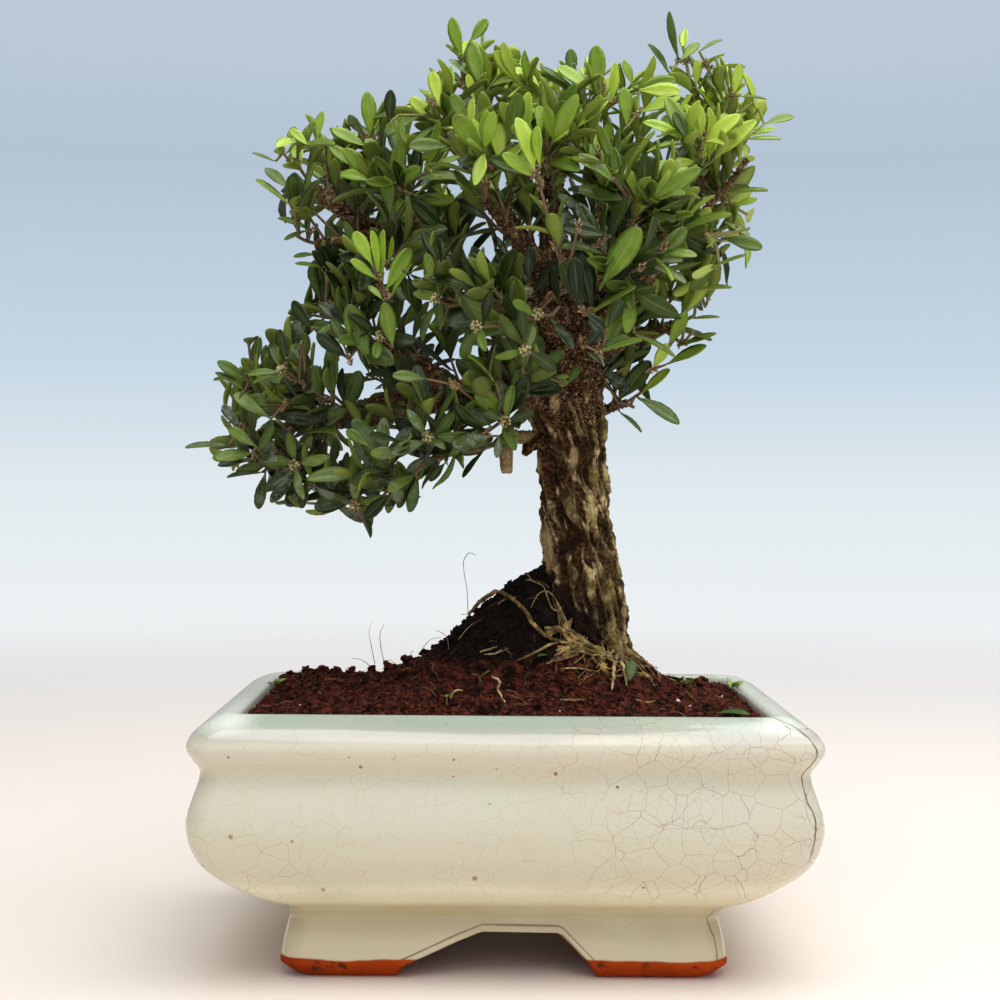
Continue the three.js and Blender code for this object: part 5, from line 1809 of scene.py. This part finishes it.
# %% [markdown]
# ### How old each leaf looks, with painted light and shade
# Colour tells age.  Height in the crown, the distance to the shoot's end and a little
# chance give each leaf its tint; height stands partly for new growth at the top and
# partly for painted light from above.  The right side of the crown is painted lighter
# as light, and leaves deep inside the crown are painted darker as shade.  The low left
# pad gets a grey film of old water drops, and a few leaves anywhere get the same film as
# painted sheen.

# %% Skeletons with everything the tree needs
def turn_of(reach, face):
    return Matrix([reach, np.cross(face, reach), face]).transposed().to_quaternion()


def age_and_light_tint(spot, endness, chance):
    x, y, z = spot
    # Height: partly new growth at the top, partly painted light from above.
    top = np.clip((z - 204 - 0.1 * abs(x)) / 56, 0, 1)
    # Painted light: leaves on the right of the crown are lightened.
    right_low = 0.5 * np.clip((x - 30) / 26, 0, 1)
    # Painted shade: leaves deep in the crown, towards the back, are darkened.
    deep = np.clip((y + 32) / 40, 0, 1) * np.clip((75 - abs(x)) / 30, 0, 1) * (1 - top)
    outside = np.clip((endness - 0.25) / 0.75, 0, 1)
    bright_shoot = 0.6 * max(0, 1 - np.hypot(x + 38, z - 206) / 9) * (y < -25)
    tint = 0.22 + 0.3 * top + (0.42 * top + right_low + 0.16) * outside + 0.48 * (chance - 0.5)
    return float(np.clip(tint + bright_shoot - 0.26 * deep, 0.0, 1))


# The pale film: dried water drops on the low left pad, and painted sheen on a few leaves anywhere
# in the crown.
def dust_and_sheen_share(spot, chance):
    low = np.clip((190 - spot[2]) / 40, 0, 1) * np.clip((20 - spot[0]) / 40, 0, 1)
    return float(np.clip(1.1 * low * chance * chance + 0.6 * (chance > 0.88), 0, 1))


TWIG_SWELL = 0.62  # a drawn twig's radius to that of the solid's


def skeleton(name, lines, leaves, buds, seed, tint=None, shapes=None):
    """Twig lines as edges, and a loose point for each leaf and bud."""
    points, edges, records = [], [], []
    random = np.random.default_rng(seed)
    for line in lines:
        first = len(points)
        for x, y, z, radius in line:
            points.append((x, y, z))
            tint_value = age_and_light_tint((x, y, z), 0.8, 0.5) if tint is None else tint
            records.append((TWIG_SWELL * radius / 1000, 1.0, tint_value, 0.0, 0, 0, (1, 0, 0, 0)))
        edges += [(first + i, first + i + 1) for i in range(len(line) - 1)]
    for spot, reach, face, scale, endness, *given in leaves:
        points.append(spot)
        tint_value = age_and_light_tint(spot, endness, random.random()) if tint is None else tint
        form, dust_and_sheen_value = int(random.integers(0, len(LEAF_FORMS))), dust_and_sheen_share(spot, random.random())
        if given:
            (tint_value, dust_and_sheen_value), form = given, 2 * (form % 2)
        records.append((0.0, scale, tint_value, dust_and_sheen_value, 1, form, tuple(turn_of(reach, face))))
    for spot, way, form in buds:
        points.append(spot)
        face = unit(np.cross(way, (0.3, 0.9, 0.2)))
        records.append((0.0, 1.0, 1.0 - form, 0.0, 2, form, tuple(turn_of(unit(way), face))))
    piece = new_piece(name, points, [], edges=edges)
    thick, size, tint_value, dust, part, form, turn = zip(*records)
    for label, values in (("thick", thick), ("size", size), ("tint", tint_value), ("dust", dust)):
        paint(piece, label, values)
    for label, values in (("part", part), ("form", form)):
        piece.data.attributes.new(label, "INT",
                                  "POINT").data.foreach_set("value", np.array(values, np.int32))
    paint(piece, "turn", turn, "QUATERNION")
    grow(piece, SPRAY, Leaf_Shapes=shapes or leaf_shapes, Twig_Sides=6, Leaf_Scale=1.0,
         Leaf_Finish=leaf_finish,
         Twig_Finish=twig_finish, Bud_Shapes=bud_shapes, Bud_Finish=bud_finish)
    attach(piece, "root")
    return piece


# %% Every spray
leaf_shapes = shape_set("leaf", LEAF_FORMS)
bud_shapes = shape_set("bud", [bud_head(), scale_tuft()])
plans = []  # name, lines, leaves, score and count of the solid's leaves, one row a spray
for branch_name, (line, sprays) in BRANCHES.items():
    for i, (share, *tip) in enumerate(sprays):
        name = f"{branch_name}_{i + 1}"
        solid = frame["nodes"]["spray_" + name]
        corners = in_millimetres([v.co for v in solid.data.vertices])
        plans.append((name, *leafy_spray(np.array(line, float), share, np.array(tip, float),
                                         500 + 41 * len(plans), corners)))
print("leaves of the solids found:", sum(plan[4] for plan in plans), "least score:",
      min(p[3] for p in plans))

# Pixels where a flower head (0) or a fork with dry scales (1) shows between the leaves
SHOWN = [
    (283, 153, 0), (380, 337, 0), (525, 350, 0), (505, 422, 0), (428, 438, 0), (355, 505, 0),
    (527, 293, 0), (537, 315, 0), (478, 327, 0), (295, 465, 0), (283, 372, 0), (437, 300, 0),
    (455, 385, 1), (545, 205, 1), (540, 185, 1), (703, 138, 1), (704, 182, 1), (662, 248, 1),
    (578, 228, 1), (640, 268, 1), (598, 152, 1),
]
shown_at = {}
for k, (px, py, form) in enumerate(SHOWN):
    ends = [(pixels_apart(line[-1][:3], px, py) + 0.4 * line[-1][1], n, m)
            for n, plan in enumerate(plans) for m, line in enumerate(plan[1])]
    _, n, m = min(ends)
    line = plans[n][1][m]
    spot = seen_at(px, py, line[-1][1] - 3)
    shoot = np.array([line[-2], (*(0.5 * line[-2][:3] + 0.5 * spot - UP), 0.7), (*spot, 0.6)])
    plans[n][1].append(shoot)
    rosette = more_leaves(shoot, ((0.98, 66, 0.66), (0.9, 74, 0.8)), draws(300 + k),
                          0.0) if form == 0 else []
    shown_at.setdefault(n, []).append((spot, unit(spot - line[-2][:3]) + (0, -0.7, 0.3), form,
                                       rosette))

# Leaves that catch the eye: pixels of foot and tip, how far the face is turned to the
# camera, tint (age with painted light and shade), and pale film (dried water drops on the
# pad, painted sheen elsewhere)
BLADES = [
    (463, 58, 450, 17, 0.5, 0.75, 0), (469, 43, 488, 17, 0.5, 0.6, 0),
    (439, 106, 432, 71, 0.9, 0.98, 0), (370, 138, 368, 92, 0.9, 0.68, 0),
    (389, 124, 391, 91, 1, 0.1, 0), (439, 124, 410, 98, 0.8, 0.95, 0),
    (317, 141, 321, 109, 0.8, 0.72, 0), (309, 146, 290, 129, 0.7, 0.9, 0),
    (365, 137, 349, 116, 0.8, 0.35, 0.6), (370, 148, 332, 131, 0.6, 0.7, 0),
    (358, 169, 330, 145, 0.8, 0.6, 0), (276, 161, 251, 152, 0.3, 0.5, 0.2),
    (291, 190, 265, 167, 0.5, 0.45, 0.3), (293, 206, 256, 181, 0.3, 0.6, 0),
    (312, 230, 279, 217, 0.4, 0.5, 0), (309, 229, 284, 240, 0.4, 0.55, 0.2),
    (318, 254, 293, 256, 0.4, 0.6, 0.1), (326, 267, 295, 264, 0.3, 0.65, 0),
    (450, 146, 409, 146, 0.9, 0.5, 0.2), (468, 129, 452, 95, 1, 0.55, 0.1),
    (500, 165, 497, 118, 0.9, 1.0, 0), (482, 84, 450, 56, 0.6, 0.6, 0.5),
    (484, 93, 470, 42, 0.7, 0.7, 0.3), (476, 196, 453, 172, 0.5, 0.4, 0),
    (678, 61, 670, 12, 0.4, 0.55, 0), (670, 74, 650, 41, 0.45, 0.35, 0),
    (680, 61, 700, 40, 0.8, 0.65, 0), (699, 51, 722, 38, 0.25, 0.6, 0.2),
    (696, 87, 697, 61, 1, 0.95, 0), (733, 96, 740, 65, 1, 0.92, 0),
    (764, 124, 795, 114, 0.6, 0.6, 0.1), (740, 96, 768, 96, 0.3, 0.6, 0),
    (744, 138, 781, 140, 0.4, 0.7, 0), (754, 133, 775, 129, 0.6, 0.85, 0),
    (600, 93, 596, 46, 1, 0.72, 0), (596, 93, 558, 66, 0.6, 0.75, 0),
    (572, 80, 571, 48, 1, 0.45, 0), (633, 87, 624, 60, 0.9, 0.7, 0),
    (638, 113, 680, 98, 0.7, 0.85, 0), (627, 127, 624, 87, 1, 0.7, 0),
    (688, 141, 675, 110, 1, 0.35, 0), (722, 238, 764, 246, 0.8, 0.5, 0.2),
    (725, 193, 768, 188, 0.3, 0.55, 0), (709, 267, 746, 256, 0.3, 0.55, 0.2),
    (693, 290, 732, 285, 0.3, 0.6, 0), (690, 318, 721, 317, 0.3, 0.6, 0),
    (725, 222, 750, 235, 0.6, 0.6, 0), (733, 206, 757, 200, 0.6, 0.8, 0),
    (540, 180, 503, 154, 0.7, 0.8, 0), (535, 174, 519, 116, 0.6, 0.9, 0),
    (540, 167, 535, 124, 0.6, 0.8, 0), (540, 138, 539, 104, 0.9, 0.75, 0),
    (617, 402, 650, 361, 1, 0.32, 0), (652, 370, 667, 344, 1, 1.0, 0),
    (635, 396, 681, 422, 0.5, 0.5, 0.3), (619, 411, 644, 431, 0.4, 0.5, 0.3),
    (665, 365, 707, 346, 0.5, 0.6, 0), (668, 346, 686, 312, 1, 0.75, 0),
    (639, 395, 670, 370, 0.6, 0.95, 0), (678, 346, 717, 334, 0.4, 0.6, 0),
    (598, 367, 630, 390, 0.7, 0.08, 0.7), (634, 333, 677, 354, 0.3, 0.5, 0.2),
    (663, 322, 711, 342, 0.3, 0.4, 0.3), (592, 311, 580, 250, 1, 0.02, 0),
    (597, 290, 583, 247, 0.8, 0.7, 0), (600, 290, 632, 260, 0.9, 0.05, 0),
    (590, 312, 637, 287, 0.4, 0.5, 0), (585, 313, 560, 262, 0.6, 0.2, 0),
    (531, 297, 560, 262, 0.9, 0.03, 0), (528, 283, 530, 246, 1, 0.03, 0.2),
    (521, 393, 563, 387, 0.8, 0.06, 0), (534, 372, 565, 351, 0.5, 0.45, 0),
    (525, 343, 521, 311, 1, 0.2, 0), (584, 311, 605, 329, 1, 0.03, 0.3),
    (596, 366, 628, 347, 0.9, 0.08, 0.5), (567, 385, 580, 365, 0.8, 0.35, 0),
    (600, 288, 640, 228, 1, 0.6, 0), (578, 306, 574, 258, 0.9, 0.02, 0),
    (632, 244, 622, 205, 1, 0.3, 0.1), (606, 262, 640, 232, 1, 0.45, 0),
    (611, 236, 563, 226, 0.8, 0.12, 0), (370, 364, 349, 305, 1, 0.55, 0.1),
    (393, 348, 385, 303, 0.9, 0.6, 0), (305, 364, 305, 333, 0.9, 0.4, 0),
    (254, 371, 258, 336, 0.8, 0.3, 0), (286, 362, 279, 329, 1, 0.15, 0),
    (294, 352, 300, 321, 0.9, 0.15, 1), (248, 383, 219, 361, 0.7, 0.45, 0),
    (245, 390, 216, 371, 0.3, 0.4, 0.3), (271, 419, 233, 394, 0.7, 0.5, 0.2),
    (241, 428, 222, 405, 1, 0.15, 1), (256, 447, 229, 428, 0.9, 0.5, 0.3),
    (229, 445, 186, 445, 0.3, 0.4, 0.5), (252, 460, 218, 466, 0.4, 0.15, 0.3),
    (262, 472, 225, 475, 0.3, 0.25, 0.3), (294, 478, 269, 502, 0.7, 0.1, 0.8),
    (307, 478, 302, 508, 0.8, 0.2, 0), (362, 491, 315, 508, 1, 0.15, 0.1),
    (391, 493, 364, 519, 0.8, 0.1, 0), (362, 508, 372, 538, 0.5, 0.2, 0.6),
    (408, 487, 398, 508, 0.8, 0.25, 0), (417, 478, 410, 512, 0.6, 0.3, 0.2),
    (440, 457, 407, 470, 0.9, 0.3, 0.7), (446, 462, 429, 481, 0.8, 0.15, 0.1),
    (484, 449, 463, 478, 0.4, 0.15, 0), (499, 413, 501, 379, 0.8, 0.3, 0.9),
    (491, 426, 463, 409, 0.9, 0.25, 0.2), (491, 436, 452, 445, 1, 0.3, 1),
    (499, 436, 497, 458, 0.9, 0.3, 1), (510, 432, 522, 409, 0.9, 0.2, 0.2),
    (524, 390, 560, 380, 0.9, 0.08, 0), (524, 373, 524, 343, 1, 0.5, 0.1),
    (522, 367, 501, 333, 0.8, 0.3, 0), (507, 310, 474, 303, 0.8, 0.6, 0.2),
    (491, 320, 448, 322, 0.9, 0.12, 0.4), (440, 329, 438, 295, 0.9, 0.4, 0),
    (427, 379, 393, 375, 0.8, 0.5, 0.2), (343, 417, 360, 371, 0.9, 0.4, 0.1),
    (320, 405, 311, 364, 0.9, 0.45, 0.1), (370, 447, 346, 430, 0.9, 0.5, 0.1),
    (406, 453, 370, 453, 0.9, 0.55, 0.5), (328, 421, 281, 415, 0.8, 0.12, 0.2),
    (381, 288, 385, 230, 0.5, 0.85, 0), (378, 276, 374, 229, 0.45, 0.85, 0),
    (373, 266, 354, 231, 0.5, 0.8, 0), (387, 268, 394, 237, 0.4, 0.85, 0),
    (378, 280, 351, 261, 0.5, 0.7, 0), (385, 291, 412, 248, 0.5, 0.7, 0),
    (390, 298, 410, 260, 0.5, 0.6, 0), (383, 300, 368, 284, 0.6, 0.6, 0),
    (600, 348, 628, 336, 0.8, 0.4, 0), (598, 352, 641, 338, 0.4, 0.5, 0),
    (586, 346, 600, 330, 0.9, 0.03, 0), (604, 344, 590, 318, 0.8, 0.05, 0.2),
    (607, 328, 622, 300, 0.9, 0.1, 0), (604, 366, 588, 352, 0.7, 0.05, 0),
    (560, 306, 552, 268, 0.5, 0.03, 0), (349, 359, 317, 334, 0.8, 0.07, 0),
    (312, 330, 291, 300, 0.9, 0.06, 0), (345, 348, 332, 318, 0.8, 0.3, 0),
    (360, 330, 331, 309, 0.8, 0.1, 0.3),
]
for k, (bx, by, tx, ty, facing, *tone) in enumerate(BLADES):
    joints = [(pixels_apart(spot[:3], bx, by) + 0.35 * spot[1], n, tuple(spot))
              for n, plan in enumerate(plans) for line in plan[1] for spot in line[1:]]
    _, n, joint = min(joints)
    foot, tip = seen_at(bx, by, joint[1] - 2), seen_at(tx, ty, joint[1] - 2)
    tip = tip - (0, 2 * math.sin(5 * k), 0)
    reach = unit(tip - foot)
    turned = (1.05 - facing) * np.array([abs(reach[2]) if k % 2 else -abs(reach[2]), 0, 1])
    face = unit(facing * np.array([0, -1, 0]) + turned
                + 0.25 * math.sin(7 * k) * np.array([1, 0, 0]))
    face = unit(face - reach * np.dot(face, reach))
    shown_at.setdefault(n, []).append((foot, None, None, [
        (foot, reach, face, np.linalg.norm(tip - foot) / LEAF_LENGTH, 1, tone[0], tone[1])]))
    plans[n][1].append(np.array([joint, (*foot, 0.6)]))
kept_clear = []  # places that no other leaf may hide, and how wide in pixels
for spot, _, form, blades in (one for some in shown_at.values() for one in some):
    if form is not None:
        kept_clear.append((spot, 9))
    else:
        kept_clear += [(foot + reach * LEAF_LENGTH * scale * share, 6)
                       for foot, reach, _, scale, *_ in blades for share in (0.3, 0.6, 0.9)]
SHOWN_PIXELS = np.array([pixel_of(spot) for spot, _ in kept_clear])
SHOWN_DEPTH = np.array([spot[1] for spot, _ in kept_clear])
SHOWN_REACH = np.array([wide for _, wide in kept_clear])


def hides_one(leaf_here):
    """True for a leaf that hangs before one of the shown heads or forks."""
    spot, reach, _, scale, *_ = leaf_here
    places = spot + reach * LEAF_LENGTH * scale * np.array([[0.25], [0.5], [0.75], [0.95]])
    pixels = np.array([pixel_of(place) for place in places])
    near = np.linalg.norm(pixels[:, None] - SHOWN_PIXELS[None], axis=2) < SHOWN_REACH
    return bool(np.any(near & (places[:, 1][:, None] < SHOWN_DEPTH + 1)))


leaf_total = face_total = 0
for n, (name, lines, leaves, _, _) in enumerate(plans):
    leaves = [one for one in leaves if not hides_one(one)]
    buds = [(line[0][:3], line[1][:3] - line[0][:3], 1) for line in lines[1::2]
            if within(line[0][:3], CROWN_OUTLINE, -8)]
    for spot, way, form, placed in shown_at.get(n, ()):
        if form is not None:
            buds.append((spot, way, form))
        leaves += placed
    spray = skeleton("leafy_" + name, lines, leaves, buds, 70 + n)
    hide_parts("spray_" + name)
    leaf_total += len(leaves)
    face_total += len(spray.data.polygons)
print("sprays:", len(plans), "leaves:", leaf_total, "faces:", face_total)

# %% [markdown]
# ### Short shoots on the inner wood
# A boxwood also sprouts from its old wood.  These shoots are dark and small, and they
# close the view through the middle of the crown.

# %% Inner shoots
FILLING_SHOOTS = [  # base and tip of shoots that close two notches of the crown
    ((46, 8, 216), (39, 1, 238)), ((40, 3, 232), (41, -4, 252)), ((47, 6, 222), (50, -3, 246)),
    ((28, 6, 232), (34, 0, 246)), ((30, 9, 222), (31, -6, 236)), ((-4, -4, 224), (-12, -8, 236)),
    ((2, -5, 213), (-9, -14, 222)), ((-10, 8, 202), (-16, -2, 214)), ((18, 8, 204), (24, 12, 216)),
    ((20, 6, 212), (27, 8, 226)), ((8, 6, 212), (5, 10, 224)), ((26, -2, 176), (34, -4, 187)),
    ((30, 0, 180), (40, -6, 191)), ((26, 4, 168), (32, 2, 177)), ((32, 4, 172), (42, 2, 181)),
]
lines, leaves = [], []
chance = draws(77)
for base, tip in FILLING_SHOOTS:
    shoot = shoot_line(np.array(base, float), np.array(tip, float), 1.0, 2, 5)
    lines.append(shoot)
    leaves += more_leaves(shoot, ((1.0, 20, 0.85), (0.82, 38, 1.0), (0.6, 48, 1.05),
                                  (0.4, 55, 1.0)), chance, 0.0)
for line, _ in BRANCHES.values():
    line = np.array(line, float)
    for k in range(4):
        spot = along(line, 0.25 + 0.7 * chance())
        way = unit(np.array([chance() - 0.5, chance() - 0.5, 0.2 + 0.6 * chance()]))
        shoot = np.array([(*spot[:3], 0.8),
                          (*(spot[:3] + way * (spot[3] + 8 + 7 * chance())), 0.6)])
        if shoot_fits(shoot):
            lines.append(shoot)
            leaves += more_leaves(shoot, ((1.0, 22, 0.7), (0.75, 45, 0.9), (0.5, 55, 0.95)), chance)
inner = skeleton("inner_shoots", lines, leaves, [], 5)
print("inner leaves:", len(leaves))

# %% [markdown]
# ## What grows and lies on the soil
# Seedling weeds, fallen leaves, grains of perlite and a few clods break up the soil.

# %% Weeds and fallen leaves
WEEDS = [
    (275, 681, 0.3), (480, 681, 0.24), (447, 702, 0.2), (681, 689, 0.36), (732, 686, 0.34),
    (690, 686, 0.25),
]
lines, leaves = [], []
for px, py, size in WEEDS:
    foot = on_soil(px, py)
    for k in range(4):
        turn = 2 * math.pi * (k / 4 + 0.4 * chance())
        reach = unit(np.array([math.cos(turn), math.sin(turn), 0.35 + 0.5 * chance()]))
        face = unit(np.cross(np.cross(reach, UP), reach))
        leaves.append((foot + UP * 1.2, reach, face, size * (0.8 + 0.4 * chance()), 1))
    lines.append(np.array([(*(foot - UP), 0.3), (*(foot + UP * 1.3), 0.25)]))
round_leaves = shape_set("round_leaf", ROUND_LEAVES)
weeds = skeleton("weeds", lines, leaves, [], 6, tint=0.8, shapes=round_leaves)
fallen = [(on_soil(629, 684, 0.6), unit(np.array([0.15, 0.2, 1])), unit(np.array([0.05, -1, 0.2])),
           0.5, 1),
          (on_soil(716, 716, 0.8), unit(np.array([1, -0.1, 0.05])), UP, 0.75, 1),
          (on_soil(548, 659, 1.0), unit(np.array([-0.8, -0.5, 0.1])), unit(np.array([0, -0.3, 1])),
           0.3, 1)]
fallen_leaves = skeleton("fallen_leaves", [], fallen, [], 8, tint=0.36, shapes=round_leaves)
put_away(round_leaves)
put_away(leaf_shapes)
put_away(bud_shapes)

# %% Perlite and clods
perlite_finish, tree, shader, where = new_material("perlite", Roughness=0.85)
shader.inputs["Base Color"].default_value = (0.72, 0.72, 0.70, 1)
bumpy(tree, shader, crumb_height(tree, where, 2500.0, 0.0003), 0.8)
GRAINS = [
    (678, 702, 0.75), (633, 721, 0.8), (690, 707, 0.5), (722, 697, 0.45), (560, 712, 0.35),
    (300, 706, 0.35),
]
LUMPS = [
    (704, 678, 2.6), (698, 684, 1.8), (352, 664, 1.3), (372, 662, 1.5), (390, 657, 2.2),
    (408, 656, 2.0), (424, 652, 1.6), (452, 640, 2.0), (336, 668, 1.5), (322, 668, 1.7),
    (306, 669, 1.5), (290, 670, 1.3),
]
shapes = []
for k, (px, py, size) in enumerate(GRAINS):
    points, faces, _ = crumb(k)
    shapes.append((points * size + on_soil(px, py, 0.5 * size), faces))
grains = new_piece("perlite_grains", *gathered(shapes), perlite_finish)
shapes = []
for k, (px, py, size) in enumerate(LUMPS):
    points, faces = ball(14, 22)
    points = np.array([p * (0.8 + 0.7 * wave(p, 0.8, k) + 0.3 * wave(p, 0.25, k + 3))
                       for p in points])
    shapes.append((points * size * (1.1, 1.0, 0.8) + on_soil(px, py, 0.1 * size), faces))
lumps = new_piece("soil_clods", *gathered(shapes), crumb_finish)
for piece in (grains, lumps):
    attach(piece, "root")
print("weed faces:", len(weeds.data.polygons), "clod faces:", len(lumps.data.polygons))

# %% [markdown]
# ## Floor and light
# The object is lit as in a small studio: wide soft lights overhead and in front, and a
# pale room round it.  The floor is plain and pale and fades into the room.

# %% Floor
floor_finish, tree, shader, where = new_material("pale_floor", Roughness=0.7,
                                                 Specular_IOR_Level=0.15)
away = vector_calc(tree, "LENGTH", where)
base_colour(tree, shader, tinted(tree, step_up(tree, away, 0.2, 0.9), colour(0.82, 0.74, 0.68),
                                 colour(0.84, 0.82, 0.81)))
clear = node(tree, "ShaderNodeBsdfTransparent")
fade = node(tree, "ShaderNodeMixShader", {0: step_up(tree, away, 0.3, 1.3), 1: shader.outputs[0],
                                          2: clear.outputs[0]})
tree.links.new(fade.outputs[0], tree.nodes["Material Output"].inputs["Surface"])
FLOOR_RADIUS, FLOOR_TOP, FLOOR_PARTS = 1400, -0.05, 64
rows = [(0, 0, FLOOR_TOP)]
for angle in np.linspace(0, 2 * math.pi, FLOOR_PARTS, endpoint=False):
    rows.append((FLOOR_RADIUS * math.cos(angle), FLOOR_RADIUS * math.sin(angle), FLOOR_TOP))
wedges = [(0, 1 + j, 1 + (j + 1) % FLOOR_PARTS) for j in range(FLOOR_PARTS)]
floor = new_piece("floor", rows, wedges, floor_finish)

# %% Room and lights
world = bpy.data.worlds.new("studio")
bpy.context.scene.world = world
world.use_nodes = True
tree = world.node_tree
direction = node(tree, "ShaderNodeTexCoord").outputs["Generated"]
rise = node(tree, "ShaderNodeSeparateXYZ", {"Vector": direction}).outputs["Z"]
ROOM = [
    (0.0, (0.90, 0.80, 0.73)), (0.26, (0.93, 0.87, 0.84)), (0.40, (0.93, 0.92, 0.91)),
    (0.47, (0.80, 0.855, 0.885)), (0.5, (0.745, 0.815, 0.85)), (0.55, (0.56, 0.68, 0.785)),
    (0.63, (0.455, 0.55, 0.665)), (1.0, (0.8, 0.8, 0.8)),
]
room = colour_ramp(tree, step_up(tree, rise, -1, 1), ROOM)
seen = node(tree, "ShaderNodeLightPath").outputs["Is Camera Ray"]
tree.links.new(tinted(tree, seen, colour(0.86, 0.86, 0.85), room),
               tree.nodes["Background"].inputs["Color"])
tree.links.new(step_up(tree, seen, 0, 1, 1.0, 0.48), tree.nodes["Background"].inputs["Strength"])


def softbox(name, place, target, wide, deep, power):
    light = bpy.data.lights.new(name, "AREA")
    light.shape, light.size, light.size_y = "RECTANGLE", wide / 1000, deep / 1000
    light.energy = power
    lamp = bpy.data.objects.new(name, light)
    bpy.context.scene.collection.objects.link(lamp)
    way = in_metres(target) - in_metres(place)
    lamp.rotation_mode = "QUATERNION"
    lamp.rotation_quaternion = Vector(way).to_track_quat("-Z", "Y")
    lamp.location = in_metres(place)


softbox("overhead", (160, -160, 950), (0, 0, 110), 1300, 950, 14.0)
softbox("front_panel", (250, -1900, 800), (0, 0, 100), 2600, 1900, 8.5)
